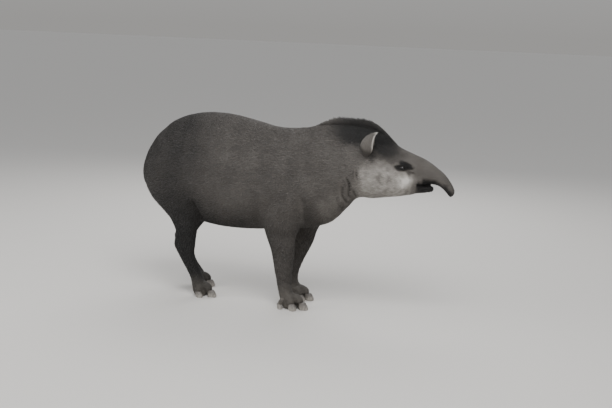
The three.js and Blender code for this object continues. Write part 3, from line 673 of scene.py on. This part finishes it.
# %% The group that colours skin and coat
SOCKETS = [("Tone", "INPUT", "Float"), ("Place", "INPUT", "Vector"), ("Unevenness", "INPUT", "Float"),
           ("Colour", "OUTPUT", "Color"), ("Hair", "OUTPUT", "Float")]
HIDE_COLOURS = [
    (0.00, (0.0035, 0.0030, 0.0028)), (0.20, (0.017, 0.015, 0.0135)), (0.40, (0.072, 0.064, 0.057)),
    (0.62, (0.180, 0.166, 0.150)), (0.82, (0.360, 0.338, 0.310)), (1.00, (0.62, 0.59, 0.55)),
]
DUST = (0.26, 0.235, 0.20, 1)
DUST_HEIGHT = 0.14
DUST_SHARE = 0.55


def hide_group():
    """Tone and place in, hide colour and hair height out."""
    group = bpy.data.node_groups.new("Hide colour", "ShaderNodeTree")
    for name, way, kind in SOCKETS:
        group.interface.new_socket(name, in_out=way, socket_type="NodeSocket" + kind)
    given = group.nodes.new("NodeGroupInput").outputs
    result = group.nodes.new("NodeGroupOutput").inputs
    patches = node(group, "TexNoise", {"Vector": given["Place"], "Scale": 9, "Detail": 5}).outputs["Fac"]
    stretch = node(group, "Mapping", {"Vector": given["Place"], "Scale": (90, 420, 420)}).outputs["Vector"]
    hairs = node(group, "TexNoise", {"Vector": stretch, "Scale": 1, "Detail": 3}).outputs["Fac"]
    both = node(group, "Math", {0: patches, 1: hairs}, operation="ADD").outputs[0]
    centred = node(group, "Math", {0: both, 1: 1.0}, operation="SUBTRACT").outputs[0]
    uneven = {0: centred, 1: given["Unevenness"], 2: given["Tone"]}
    tone = node(group, "Math", uneven, operation="MULTIPLY_ADD").outputs[0]
    colour = colour_ramp(group, tone, HIDE_COLOURS)
    height = node(group, "SeparateXYZ", {"Vector": given["Place"]}).outputs["Z"]
    low = node(group, "MapRange", {
        "Value": height, "From Min": 0.0, "From Max": DUST_HEIGHT, "To Min": DUST_SHARE, "To Max": 0.0,
    }).outputs["Result"]
    dust = node(group, "Math", {0: low, 1: patches}, operation="MULTIPLY").outputs[0]
    mixed = node(group, "Mix", {"Factor": dust, "A": colour, "B": DUST}, data_type="RGBA").outputs["Result"]
    group.links.new(mixed, result["Colour"])
    group.links.new(hairs, result["Hair"])
    return group


HIDE = hide_group()


# %% Hide and coat materials
def shaded(name, roughness, specular=0.3, sheen=0.0):
    """A new material and its tree, with the shader's fixed values on the shader."""
    material = bpy.data.materials.new(name)
    material.use_nodes = True
    shader = material.node_tree.nodes["Principled BSDF"]
    shader.inputs["Roughness"].default_value = roughness
    shader.inputs["Specular IOR Level"].default_value = specular
    shader.inputs["Sheen Weight"].default_value = sheen
    return material, material.node_tree, shader


def hide_material(name, roughness, hair_bump, unevenness, specular=0.3, sheen=0.0):
    """The hide's colour from the piece's own tone attribute, with hair bump in Object coordinates."""
    material, tree, shader = shaded(name, roughness, specular, sheen)
    tone = node(tree, "Attribute", attribute_name="tone").outputs["Fac"]
    place = node(tree, "TexCoord").outputs["Object"]
    given = {"Unevenness": unevenness, "Tone": tone, "Place": place}
    hide = node(tree, "Group", given, node_tree=HIDE).outputs
    tree.links.new(hide["Colour"], shader.inputs["Base Color"])
    if hair_bump:
        bump(tree, shader, hide["Hair"], hair_bump, 0.0012)
    return material


skin_material = hide_material("hide", 0.72, 0.55, 0.10, 0.28, 0.06)
coat_material = hide_material("coat hair", 0.60, 0.0, 0.10, 0.30, 0.10)
mane_material = hide_material("mane hair", 0.55, 0.0, 0.06, 0.35, 0.05)
print("materials:", skin_material.name, coat_material.name, mane_material.name)


# %% The skin object
def with_tone(made, tone):
    """Stores one number for each vertex under the name the materials read."""
    made.data.attributes.new("tone", "FLOAT", "POINT").data.foreach_set("value", np.asarray(tone, np.float32))


skin = new_object("skin", turned(skin_verts), tris=triangles)
with_tone(skin, skin_tone)
skin.data.materials.append(skin_material)
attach(skin, "root")
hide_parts("torso", "neck", "head", "proboscis", "lower_jaw", "tail", *LEGS)
print("skin triangles:", triangle_count(skin))

# %% [markdown]
# An ear is a cupped leaf: at each place along it, the shell is an arc that runs out round the back and
# returns inside. Near the root the arc is nearly a full tube, and at the tip it opens flat. The rim is pale.
# The front edge reaches up to 10 mm further round than in the solids, because the photo's ear is narrower.

# %% Ears
EAR_ROOT = np.array([0.372, 0.072, 0.864])
EAR_TIP = np.array([0.433, 0.112, 0.995])
EAR_HALF, EAR_DEPTH, EAR_BOW = 0.037, 0.039, 0.015
# place along, share of width, how far the arc reaches, in degrees
EAR_SHAPE = [(0, 0.50, 150), (0.15, 0.74, 152), (0.33, 0.97, 149), (0.5, 1.0, 138), (0.68, 0.84, 122),
             (0.84, 0.58, 106), (0.95, 0.32, 94), (1.0, 0.14, 84)]


def ear_surface(side, rings=44, arc=34):
    """Rings of two arcs, outer and inner, about an axis from root to tip; the wall thins to the rim."""
    root, tip = EAR_ROOT * (1, side, 1), EAR_TIP * (1, side, 1)
    axis = (tip - root) / np.linalg.norm(tip - root)
    facing = np.array([1, -0.05 * side, -0.1])
    facing -= axis * (facing @ axis)
    facing /= np.linalg.norm(facing)
    across = np.cross(axis, facing)
    place, share, reach = through(EAR_SHAPE, rings).T[:, :, None]
    sweep = np.linspace(-1, 1, arc)
    sweep = np.concatenate([sweep, sweep[::-1]])[None]
    inner = (np.arange(2 * arc) >= arc)[None]
    rim = np.sqrt(np.clip(1 - np.abs(sweep) ** 6, 0, 1)) * np.sqrt(np.clip(1 - place ** 8, 0.02, 1))
    wall = np.where(inner, 0.0036 * rim + 0.0004, 0.0)
    angle = np.radians(reach) * sweep
    ruffle = 1 + 0.03 * np.sin(place * 9 + sweep * 3) * (1 - np.abs(sweep))
    half = np.maximum(share * EAR_HALF * ruffle - wall - 0.0012, 0.0008)
    depth = np.maximum(share * EAR_DEPTH * ruffle - wall - 0.0012, 0.0008)
    middle = root + (tip - root) * place[..., None] - facing * (4 * EAR_BOW * place * (1 - place))[..., None]
    grid = middle + across * (half * np.sin(angle))[..., None] - facing * (depth * np.cos(angle))[..., None]
    pale = np.where(inner, 0.40, 0.50) + 0.45 * step(np.abs(sweep), 0.84, 0.96) * step(place, 0.15, 0.5)
    pale = pale + 0.35 * step(place, 0.88, 0.98) - 0.16 * (1 - step(place, 0.15, 0.40))
    # Inside, deep in the cup near the root, the ear is darkened further: painted shade.
    pale = pale - 0.20 * inner * (1 - step(place, 0.2, 0.7))
    return grid, pale + 0 * angle


ears = {}
for name, side in (("ear_right", -1), ("ear_left", 1)):
    grid, pale = ear_surface(side)
    verts, quads, tris = closed(grid)
    ears[name] = (grid, pale, side)
    ear = new_object(name + "_shell", turned(verts), quads, tris)
    with_tone(ear, np.concatenate([pale.ravel(), [0.3, 0.8]]))
    ear.data.materials.append(skin_material)
    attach(ear, "root")
    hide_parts(name)
    print(name, triangle_count(ear), "triangles")

# %% [markdown]
# The eyes are small and dark. The ball has a clear bulge over the iris, so its radius grows a little towards
# the front. The lids are one soft ring: from a thin edge that hugs the ball, up over a roll, and out until it
# sinks into the skin. The upper lid reaches further down than the lower lid reaches up.

# %% Eyes
EYE_FACING = np.array([0.22, 0.93, 0.28])


def eye_axes(side):
    """The direction an eye looks, and the directions along and up across its front."""
    out = EYE_FACING * (1, side, 1) / np.linalg.norm(EYE_FACING)
    along = np.array([1.0, 0.0, -0.18])
    along -= out * (along @ out)
    along /= np.linalg.norm(along)
    up = np.cross(along, out) * -side
    return out, along, up if up[2] > 0 else -up


def eyeball(side, rings=40, around=48):
    """A sphere by angles from the front, with the cornea's bulge inside 35 degrees."""
    out, along, up = eye_axes(side)
    polar = np.linspace(0.02, math.pi - 0.02, rings)[:, None]
    angle = np.arange(around)[None] * 2 * math.pi / around
    radius = (EYE_RADIUS - 0.0004) * (1 + 0.05 * (1 - step(polar, 0.0, 0.6)))
    spoke = (np.cos(polar) * radius)[..., None] * out
    spoke = spoke + (np.sin(polar) * radius * np.cos(angle))[..., None] * along
    spoke = spoke + (np.sin(polar) * radius * np.sin(angle))[..., None] * up
    return EYE * (1, side, 1) + spoke, polar + 0 * angle


# share of the way from the front to the back of the ball, and its colour there
EYE_COLOURS = [
    (0.00, (0.002, 0.002, 0.002)), (0.12, (0.002, 0.002, 0.002)), (0.15, (0.014, 0.008, 0.004)),
    (0.24, (0.008, 0.005, 0.003)), (0.28, (0.003, 0.002, 0.002)), (0.34, (0.016, 0.013, 0.011)),
    (1.00, (0.030, 0.025, 0.020)),
]


def eye_material():
    """Wet and almost black: a pupil, a brown iris and a dark rim, by the angle from the front."""
    material, tree, shader = shaded("eye", 0.06, 0.6)
    shader.inputs["Coat Weight"].default_value = 0.25
    shader.inputs["Coat Roughness"].default_value = 0.02
    angle = node(tree, "Attribute", attribute_name="tone").outputs["Fac"]
    place = node(tree, "TexCoord").outputs["Object"]
    streaks = node(tree, "TexNoise", {"Vector": place, "Scale": 600}).outputs["Fac"]
    shift = node(tree, "Math", {0: streaks, 1: 0.02, 2: angle}, operation="MULTIPLY_ADD").outputs[0]
    tree.links.new(colour_ramp(tree, shift, EYE_COLOURS), shader.inputs["Base Color"])
    return material


eye_look = eye_material()
for name, side in (("eye_right", -1), ("eye_left", 1)):
    grid, polar = eyeball(side)
    verts, quads, tris = closed(grid if side < 0 else grid[:, ::-1])
    ball = new_object(name + "_ball", turned(verts), quads, tris)
    with_tone(ball, np.concatenate([(polar if side < 0 else polar[:, ::-1]).ravel() / math.pi, [0, 1]]))
    ball.data.materials.append(eye_look)
    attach(ball, "root")
    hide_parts(name)


# %% Lids
# half sizes of the opening (along, above, below) and of the outer edge (along, up)
LID_OPENING = (0.0124, 0.0066, 0.0054)
LID_EDGE = (0.0255, 0.0205)
LID_THICKNESS = 0.0022


def lids(side, rings=26, around=72):
    """A ring from the almond opening out to the skin: close over the ball, then level with the face."""
    out, along, up = eye_axes(side)
    angle = np.arange(around)[None] * 2 * math.pi / around
    t = np.linspace(0, 1, rings)[:, None]
    c, s = np.cos(angle), np.sin(angle)
    upper = step(s, -0.25, 0.5)
    in_x = LID_OPENING[0] * c
    in_y = np.where(s > 0, LID_OPENING[1], LID_OPENING[2]) * (1 - 0.35 * np.abs(c) ** 3) * s - 0.0010 * c
    out_x, out_y = LID_EDGE[0] * c, LID_EDGE[1] * s
    px, py = in_x + (out_x - in_x) * t, in_y + (out_y - in_y) * t
    middle = EYE * (1, side, 1)
    near = (skin_verts[:, 0] > 0.52) & (skin_verts[:, 0] < 0.62) & (np.sign(skin_verts[:, 1]) == side)
    rel = skin_verts[near] - middle
    across = np.stack([rel @ along, rel @ up], -1)
    gap = ((np.stack([out_x[0], out_y[0]], -1)[:, None] - across[None]) ** 2).sum(-1)
    weight = np.exp(-gap / 0.003 ** 2) + 1e-12
    weight /= weight.sum(1, keepdims=True)
    edge_height, edge_tone = weight @ (rel @ out), weight @ skin_tone[near]
    ball = EYE_RADIUS + 0.0006
    on_ball = np.sqrt(np.clip(ball ** 2 - px ** 2 - py ** 2, 0, None))
    level = on_ball[:1] + (edge_height - on_ball[:1]) * step(t, 0.0, 0.95)
    soft = 0.0008
    blend = soft * np.log1p(np.exp(-np.abs(level - on_ball) / soft)) * step(t, 0, 0.1)
    height = np.maximum(level, on_ball) + blend
    height = height + 0.0013 * np.sin(np.clip(t / 0.22, 0, 1) * math.pi) ** 0.8
    height = height + upper * (0.0014 * hill(t - 0.50, 0.10) - 0.0014 * hill(t - 0.33, 0.06))
    height = height + (1 - upper) * (0.0008 * hill(t - 0.46, 0.08) - 0.0008 * hill(t - 0.31, 0.05))
    height = height + 0.0008 * step(t, 0.4, 0.7) - 0.0038 * step(t, 0.80, 1.0)
    outside = middle + px[..., None] * along + py[..., None] * up + height[..., None] * out
    grid = np.concatenate([(outside - out * LID_THICKNESS)[::-1], outside])
    # The lids are near black at the opening and on their inner face: partly dark bare lid skin, partly
    # painted shade of the eye socket.
    tone = 0.04 + (edge_tone[None] - 0.04) * step(t, 0.30, 0.95)
    return grid, np.concatenate([np.full((rings, around), 0.03), tone])


for name, side in (("lids_right", -1), ("lids_left", 1)):
    grid, tone = lids(side)
    quads = ring_quads(*grid.shape[:2], looped=True)
    lid = new_object(name, turned(grid.reshape(-1, 3)), quads[:, ::-1] if side < 0 else quads)
    with_tone(lid, tone.ravel())
    lid.data.materials.append(skin_material)
    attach(lid, "root")
    print(name, triangle_count(lid), "triangles")

# %% [markdown]
# A hoof is a small horn shoe: flat below, rounded in front, open to the toe above. Horn grows down from the
# skin in fine rings, which are kept here as a shallow wave, and its edge is worn round at the ground.

# %% Hooves
def hoof_surface(toe, middle, side, rings=26, around=40):
    """Rings from the sole up: each is a superellipse that draws in and leans back with height."""
    _, _, length, width, height, turn = toe
    place = np.linspace(0, 1, rings)
    rise = place * (height - 0.0005)
    share = through([[0.93], [1.0], [0.985], [0.94], [0.87], [0.78]], rings)[:, 0]
    share = share - 0.05 * (1 - step(place, 0.0, 0.06))
    share += 0.008 * np.sin(place * 44) * step(place, 0.12, 0.3)
    back = -0.010 * place ** 1.3
    angle = np.arange(around)[None] * 2 * math.pi / around
    heel = np.where(np.cos(angle) < 0, 0.72, 1.0)
    x = back[:, None] + (share[:, None] * length - 0.0008) * heel * power(np.cos(angle), 2.3)
    y = (share[:, None] * width - 0.0008) * power(np.sin(angle), 2.3)
    turn = side * math.radians(turn)
    return np.stack([
        middle[0] + x * math.cos(turn) - y * math.sin(turn),
        middle[1] + x * math.sin(turn) + y * math.cos(turn),
        rise[:, None] + 0 * angle,
    ], -1)


def horn_material():
    """Grey horn: pale at the worn edge, streaked down its height, dull with dust."""
    material, tree, shader = shaded("horn", 0.46, 0.4)
    place = node(tree, "TexCoord").outputs["Object"]
    stretch = node(tree, "Mapping", {"Vector": place, "Scale": (260, 260, 40)}).outputs["Vector"]
    streaks = node(tree, "TexNoise", {"Vector": stretch, "Scale": 1, "Detail": 4}).outputs["Fac"]
    height = node(tree, "SeparateXYZ", {"Vector": place}).outputs["Z"]
    aged = node(tree, "Math", {0: height, 1: 12.0, 2: streaks}, operation="MULTIPLY_ADD").outputs[0]
    colour = colour_ramp(tree, aged, [(0.45, (0.36, 0.335, 0.30)), (0.90, (0.11, 0.10, 0.09))])
    tree.links.new(colour, shader.inputs["Base Color"])
    bump(tree, shader, streaks, 0.4, 0.0008)
    return material


horn = horn_material()
for name, (toe, middle, side) in toes.items():
    verts, quads, tris = closed(hoof_surface(toe, middle, side))
    hoof = new_object("horn_" + name.removeprefix("hoof_"), turned(verts), quads[:, ::-1], tris[:, ::-1])
    hoof.data.materials.append(horn)
    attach(hoof, "root")
    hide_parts(name)
print("hooves:", len(toes))

# %% [markdown]
# The coat. Real hair is too fine to model one by one, and particle hair isn't kept in an export, so each tuft
# is a small closed spike of ten triangles that lies along the body. Roots are drawn at random over the skin,
# with more on the face and feet, where the hair is shortest. A field gives the lie of the coat at any place:
# backwards on trunk and head, down on the legs, and up along the nose.

# %% The lie of the coat
def lie(p):
    """The direction hair grows at each point: backwards and a little down, turning down on the legs."""
    x, _, z = p.T
    fore = hill(x + 0.03, 0.17) * (1 - step(z, 0.42, 0.66))
    hind = hill(x + 0.68, 0.20) * (1 - step(z, 0.40, 0.64))
    leg = np.clip(np.maximum(fore, hind) + (z < 0.36) * (x < 0.25), 0, 1)
    rump = step(-x, 0.62, 0.86)
    nose = step(x, 0.66, 0.80)
    back = np.stack([-1 + 0 * x, 0 * x, -0.22 - 0.5 * rump], -1)
    back[:, 2] += 0.9 * nose
    down = np.stack([-0.15 + 0 * x, 0 * x, -1 + 0 * x], -1)
    return back * (1 - leg)[:, None] + down * leg[:, None]


def spread(count, seed, weight):
    """Random roots on the skin: a face is drawn by its area times weight, and a point evenly inside it."""
    random = np.random.default_rng(seed)
    a, b, c = (skin_verts[triangles[:, k]] for k in range(3))
    area = np.linalg.norm(np.cross(b - a, c - a), axis=1) * weight
    total = np.cumsum(area)
    face = np.searchsorted(total, (np.arange(count) + random.random(count)) / count * total[-1])
    face = np.minimum(face, len(triangles) - 1)
    u, v = random.random((2, count))
    over = u + v > 1
    u, v = np.where(over, 1 - u, u), np.where(over, 1 - v, v)
    share = np.stack([1 - u - v, u, v], -1)[..., None]
    root = (skin_verts[triangles[face]] * share).sum(1)
    up = (normals[triangles[face]] * share).sum(1)
    tone = (skin_tone[triangles[face]] * share[..., 0]).sum(1)
    return root, up / np.linalg.norm(up, axis=1, keepdims=True), tone


TUFT_SIDES = np.array([(0, 1, 4, 3), (1, 2, 5, 4), (2, 0, 3, 5)])
TUFT_ENDS = np.array([(3, 4, 6), (4, 5, 6), (5, 3, 6), (0, 2, 1)])


def tufts(root, up, way, length, width, lift, curl):
    """Spikes of three sides: sunk at the root, rising by lift, and bent back towards the skin by curl."""
    way = way - up * (way * up).sum(1, keepdims=True)
    way /= np.maximum(np.linalg.norm(way, axis=1, keepdims=True), 1e-9)
    across = np.cross(up, way)
    points = []
    for place, share in ((0.0, 1.0), (0.45, 0.85)):
        height = length * (lift * place - curl * place ** 2) - 0.0008 * (place == 0)
        middle = root + way * (length * place)[:, None] + up * height[:, None]
        half = (width * share)[:, None]
        points += [middle - across * half, middle + across * half, middle + up * half * 0.55]
    points.append(root + way * length[:, None] + up * (length * (lift - curl))[:, None])
    return np.stack(points, 1)


def unwrap(root):
    """A place in the unit square for each root: trunk by length and angle, each leg below it by height."""
    x, y, z = root.T
    low = z < 0.40
    around = np.arctan2(y, z - 0.72) / (2 * math.pi) + 0.5
    u = (x + 1.0) / 1.9
    v = 0.30 + 0.68 * around
    leg = (x > -0.3) * 2 + (y > 0)
    centre_x = np.where(x > -0.3, -0.045, -0.62)
    leg_angle = np.arctan2(np.abs(y) - 0.105, x - centre_x) / (2 * math.pi) + 0.5
    u = np.where(low, (leg + 0.05 + 0.9 * leg_angle) / 4, u)
    v = np.where(low, 0.01 + 0.27 * z / 0.40, v)
    return np.stack([u, v], -1)


def coat_object(name, points, roots, tone, material, tips):
    """All tufts of a piece as one mesh, paler at the tips, each with its own small patch in the bake map."""
    count = len(points)
    base = (np.arange(count) * 7)[:, None, None]
    quads = (base + TUFT_SIDES).reshape(-1, 4)
    tris = (base + TUFT_ENDS).reshape(-1, 3)
    made = new_object(name, turned(points.reshape(-1, 3)), quads, tris)
    with_tone(made, (tone[:, None] + tips * np.array([0, 0, 0, 0.4, 0.4, 0.4, 1.0])).ravel())
    patch = np.array([(-1, -1), (1, -1), (0, -0.6), (-1, 0.2), (1, 0.2), (0, 0.5), (0, 1)]) * 0.0015
    uv = (unwrap(roots)[:, None] + patch).reshape(-1, 2)
    corners = np.concatenate([quads.ravel(), tris.ravel()])
    made.data.uv_layers.new(name="OFBake").data.foreach_set("uv", uv[corners].astype(np.float32).ravel())
    made.data.materials.append(material)
    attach(made, "root")
    return made


# %% The short coat
# on the body, and how much less it is where the hair is shortest
HAIR_LENGTH, HAIR_SHORTER = 0.0190, 0.0120
HAIR_WIDTH, HAIR_FINER = 0.00125, 0.00055
BARE_ROUND_EYE = 0.0180
NOSE_TIP = (0.841, 0.680)
BARE_NOSE_TIP = 0.022
BARE_SOLE = 0.030


def coat(count, seed):
    """Tufts all over the skin, sorted from tail to nose, with their sizes from where they stand."""
    middle = skin_verts[triangles].mean(1)
    x, _, z = middle.T
    face = step(x, 0.36, 0.50)
    low = 1 - step(z, 0.10, 0.30)
    weight = 1.0 + 0.9 * face + 0.6 * low
    for s in (-1, 1):
        weight = weight * (np.linalg.norm(middle - EYE * (1, s, 1), axis=1) > BARE_ROUND_EYE)
    for near, _, _, wide in hollows(wavy(x, z), z, NECK_CREASES):
        weight = weight * (1 - 0.85 * hill(near, wide))
    weight *= (line_distance(x, z, MOUTH_LINE)[0] > 0.004) | (x < 0.648)
    weight *= (z > BARE_SOLE) & (np.hypot(x - NOSE_TIP[0], z - NOSE_TIP[1]) > BARE_NOSE_TIP)
    root, up, tone = spread(count, seed, weight)
    order = np.argsort(root[:, 0], kind="stable")
    root, up, tone = root[order], up[order], tone[order]
    random = np.random.default_rng(seed + 1)
    x, _, z = root.T
    face = step(x, 0.34, 0.52)
    low = 1 - step(z, 0.10, 0.34)
    short = np.maximum(np.maximum(face, low * 0.8), step(-x, 0.935, 0.960))
    length = (HAIR_LENGTH - HAIR_SHORTER * short) * (0.75 + 0.5 * random.random(count))
    width = (HAIR_WIDTH - HAIR_FINER * short) * (0.8 + 0.4 * random.random(count))
    way = lie(root) + 0.16 * random.standard_normal((count, 3))
    lift = 0.16 + 0.06 * random.random(count)
    points = tufts(root, up, way, length, width, lift, 0.55 * lift)
    tone = tone + 0.035 * random.standard_normal(count)
    return points, root, tone


COAT_TUFTS = 112000
PIECES = ["rump", "loin", "barrel", "shoulder", "neck", "head"]
points, root, tone = coat(COAT_TUFTS, 11)
cuts = np.linspace(0, COAT_TUFTS, len(PIECES) + 1).astype(int)
for name, start, end in zip(PIECES, cuts[:-1], cuts[1:]):
    part = slice(start, end)
    made = coat_object("coat_" + name, points[part], root[part], tone[part], coat_material, 0.05)
    print(made.name, triangle_count(made), "triangles")

# %% [markdown]
# The mane is what marks this tapir among its kind: a stiff, narrow crest of dark hair from between the ears
# to the shoulders. Its hairs stand nearly upright and lean back, so from the side it reads as one thick low
# ridge, a little ragged at the top. Dark tufts on the sides of the crest cover its foot.

# %% The mane
# place along the neck, height of the hair over the skin
MANE_RISE = np.array([
    (0.060, 0.000), (0.127, 0.017), (0.184, 0.028), (0.230, 0.033), (0.353, 0.034),
    (0.436, 0.029), (0.459, 0.021), (0.493, 0.013), (0.535, 0.003),
])


def mane(count, seed):
    """Upright tufts in a narrow band on the crest, rooted on the skin, tallest over the nape."""
    x, y, z = skin_verts[triangles].mean(1).T
    band = 0.013 * step(x, 0.02, 0.20) * (1 - 0.45 * step(x, 0.42, 0.53))
    weight = hill(y, np.maximum(band, 0.002)) * (x > 0.075) * (x < 0.528) * (z > 0.88)
    root, up, _ = spread(count, seed, weight)
    random = np.random.default_rng(seed + 1)
    x, y, z = root.T
    clump = waves(root * (1, 0.6, 0.2), 0.016, 21)
    rise = np.interp(x - 0.008, MANE_RISE[:, 0], MANE_RISE[:, 1])
    length = (0.003 + 1.04 * rise) * (0.80 + 0.30 * random.random(count) + 0.07 * clump)
    length *= 1 - 0.50 * np.clip(np.abs(y) / 0.024, 0, 1)
    leaning = -0.34 - 0.14 * random.random(count) - 0.05 * clump
    sideways = 0.07 * random.standard_normal(count)
    way = 0.45 * up + np.stack([leaning, sideways, 0.75 + 0 * x], -1)
    way /= np.linalg.norm(way, axis=1, keepdims=True)
    back = np.stack([-np.ones(count), 0 * x, 0 * x], -1)
    tone = 0.31 - 0.20 * step(x, 0.16, 0.30) + 0.04 * random.standard_normal(count) + 0.03 * clump
    return root - 0.002 * up, way, back, length, tone


def standing(root, way, back, length, width):
    """Spikes that stand along way and curve over towards back near the tip."""
    across = np.cross(way, back)
    across /= np.linalg.norm(across, axis=1, keepdims=True)
    depth = np.cross(across, way)
    points = []
    for place, share in ((0.0, 1.0), (0.55, 0.8)):
        middle = root + way * (length * place)[:, None] + back * (length * 0.22 * place ** 2)[:, None]
        half = (width * share)[:, None]
        points += [middle - across * half * 0.6, middle + across * half * 0.6, middle + depth * half * 1.6]
    points.append(root + way * length[:, None] + back * (length * 0.22)[:, None])
    return np.stack(points, 1)


MANE_TUFTS = 11000
root, way, back, length, tone = mane(MANE_TUFTS, 23)
width = 0.00070 * (0.7 + 0.6 * np.random.default_rng(5).random(MANE_TUFTS))
made = coat_object("mane", standing(root, way, back, length, width), root, tone, mane_material, 0.13)
print("mane:", triangle_count(made), "triangles")


# %% Long hair on the sides of the crest
def crest_sides(count, seed):
    """Long dark tufts that lie up and back from the sides of the neck into the mane, and hide its foot."""
    x, _, z = skin_verts[triangles].mean(1).T
    foot = 0.950 + 0.10 * np.clip(0.26 - x, 0, 1) - 0.5 * np.clip(x - 0.45, 0, 1)
    weight = step(z, foot - 0.020, foot + 0.015) * step(x, 0.16, 0.28) * (1 - step(x, 0.46, 0.52))
    root, up, tone = spread(count, seed, weight)
    random = np.random.default_rng(seed + 1)
    way = np.array([-0.75, 0.0, 0.75]) + 0.16 * random.standard_normal((count, 3))
    length = 0.019 * (0.7 + 0.6 * random.random(count))
    width = 0.00085 * (0.7 + 0.6 * random.random(count))
    lift = 0.22 + 0.10 * random.random(count)
    tone = 0.6 * tone + 0.03 + 0.03 * random.standard_normal(count)
    return tufts(root, up, way, length, width, lift, 0.4 * lift), root, tone


points, root, tone = crest_sides(MANE_TUFTS // 2, 41)
made = coat_object("crest_sides", points, root, tone, mane_material, 0.05)
print("sides of the crest:", triangle_count(made), "triangles")

# %% [markdown]
# Ears are haired too: short outside, and a little longer inside, where most of it grows near the rim.

# %% Hair on the ears
OUTSIDE_LENGTH, INSIDE_LENGTH, EAR_HAIR_WIDTH = 0.0075, 0.0125, 0.00060
OUTSIDE_TUFTS = 2600
INSIDE_TUFTS = 900


def ear_hair(grid, pale, inside, count, seed):
    """Short tufts on one face of an ear, lying towards its tip, from random places on its grid."""
    random = np.random.default_rng(seed)
    rings, around = grid.shape[:2]
    half = around // 2
    i = 6 + random.random(count) * (rings - 9)
    place = random.random(count)
    if inside:
        place = np.where(place < 0.5, place ** 2, 1 - (1 - place) ** 2)
    j = 1 + place * (half - 3) + inside * half
    a, b = i.astype(int), j.astype(int)
    fi, fj = (i - a)[:, None], (j - b)[:, None]
    near_edge = grid[a, b] * (1 - fi) + grid[a + 1, b] * fi
    far_edge = grid[a, b + 1] * (1 - fi) + grid[a + 1, b + 1] * fi
    root = near_edge * (1 - fj) + far_edge * fj
    along = grid[a + 1, b] - grid[a, b]
    across = grid[a, b + 1] - grid[a, b]
    up = np.cross(across, along)
    up /= np.maximum(np.linalg.norm(up, axis=1, keepdims=True), 1e-9)
    centre = grid[a].mean(1)
    outward = ((root - centre) * up).sum(1, keepdims=True) > 0
    up = np.where(outward == inside, -up, up)
    way = along / np.linalg.norm(along, axis=1, keepdims=True) + 0.2 * random.standard_normal((count, 3))
    length = (INSIDE_LENGTH if inside else OUTSIDE_LENGTH) * (0.7 + 0.5 * random.random(count))
    tone = pale[a, b] + 0.08 * inside + 0.03 * random.standard_normal(count)
    return tufts(root, up, way, length, np.full(count, EAR_HAIR_WIDTH), 0.20, 0.08), root, tone


for name, (grid, pale, side) in ears.items():
    outer = ear_hair(grid, pale, False, OUTSIDE_TUFTS, 31 + side)
    hollow = ear_hair(grid, pale, True, INSIDE_TUFTS, 51 + side)
    points, root, tone = (np.concatenate(pair) for pair in zip(outer, hollow))
    made = coat_object("hair_" + name, points, root, tone, coat_material, 0.05)
print("ear hair:", triangle_count(made), "triangles each")

# %% [markdown]
# The stage: a pale floor that runs into the distance, and three large soft lights. A big light overhead and
# to the front gives the form, a weaker one from the other side keeps the shaded legs readable, and one
# behind lifts the back from the ground. The sky fills the rest. It is as grey at the horizon as the far
# floor, so that the floor's edge hardly shows. The camera has the photo's angle and its slight tilt.

# %% Floor
FLOOR_HALF = 90
corners = [(u * FLOOR_HALF, v * FLOOR_HALF, 0) for u, v in ((-1, -1), (1, -1), (1, 1), (-1, 1))]
floor = new_object("floor", corners, [(0, 1, 2, 3)], smooth=False)
floor_material, tree, shader = shaded("floor", 0.9, 0.2)
shader.inputs["Base Color"].default_value = (0.62, 0.60, 0.57, 1)
floor.data.materials.append(floor_material)


# %% Light
def area_light(name, place, aim, size, watts):
    """A square soft light at a place, turned towards a point."""
    data = bpy.data.lights.new(name, "AREA")
    data.size, data.energy = size, watts
    light = bpy.data.objects.new(name, data)
    light.location = place
    light.rotation_euler = (Vector(aim) - Vector(place)).to_track_quat("-Z", "Y").to_euler()
    bpy.context.scene.collection.objects.link(light)


area_light("key", (1.2, -2.6, 4.2), (0, 0, 0.6), 2.6, 190)
area_light("fill", (-3.6, -2.2, 2.4), (-0.3, 0, 0.6), 3.0, 60)
area_light("back", (-1.0, 3.4, 3.4), (0, 0, 0.7), 3.0, 110)
world = bpy.data.worlds.new("studio")
world.use_nodes = True
sky = world.node_tree
height = node(sky, "SeparateXYZ", {"Vector": node(sky, "TexCoord").outputs["Generated"]}).outputs["Z"]
shade = colour_ramp(sky, height, [(0.0, (0.53, 0.52, 0.505)), (0.30, (0.88, 0.90, 0.93))])
background = sky.nodes["Background"].inputs
sky.links.new(shade, background["Color"])
background["Strength"].default_value = 0.66
bpy.context.scene.world = world

# %% Camera
AZIMUTH, ELEVATION, ROLL = (math.radians(a) for a in (21.0, 10.0, 2.2))
DISTANCE, LENS = 5.4, 58.8
level_share = math.cos(ELEVATION)
back = Vector((math.sin(AZIMUTH) * level_share, -math.cos(AZIMUTH) * level_share, math.sin(ELEVATION)))
level = Vector((math.cos(AZIMUTH), math.sin(AZIMUTH), 0))
upright = back.cross(level)
right = level * math.cos(ROLL) + upright * math.sin(ROLL)
upright = upright * math.cos(ROLL) - level * math.sin(ROLL)
aim = Vector((0.06 - BOX_MIDDLE_X, -0.065, 0.58))
place = aim + back * DISTANCE
camera = bpy.data.objects.new("camera", bpy.data.cameras.new("camera"))
camera.data.lens = LENS
rows = [(*row, place[k]) for k, row in enumerate(zip(right, upright, back))]
camera.matrix_world = Matrix(rows + [(0, 0, 0, 1)])
bpy.context.scene.collection.objects.link(camera)
bpy.context.scene.camera = camera
print("camera at", [round(v, 3) for v in place])
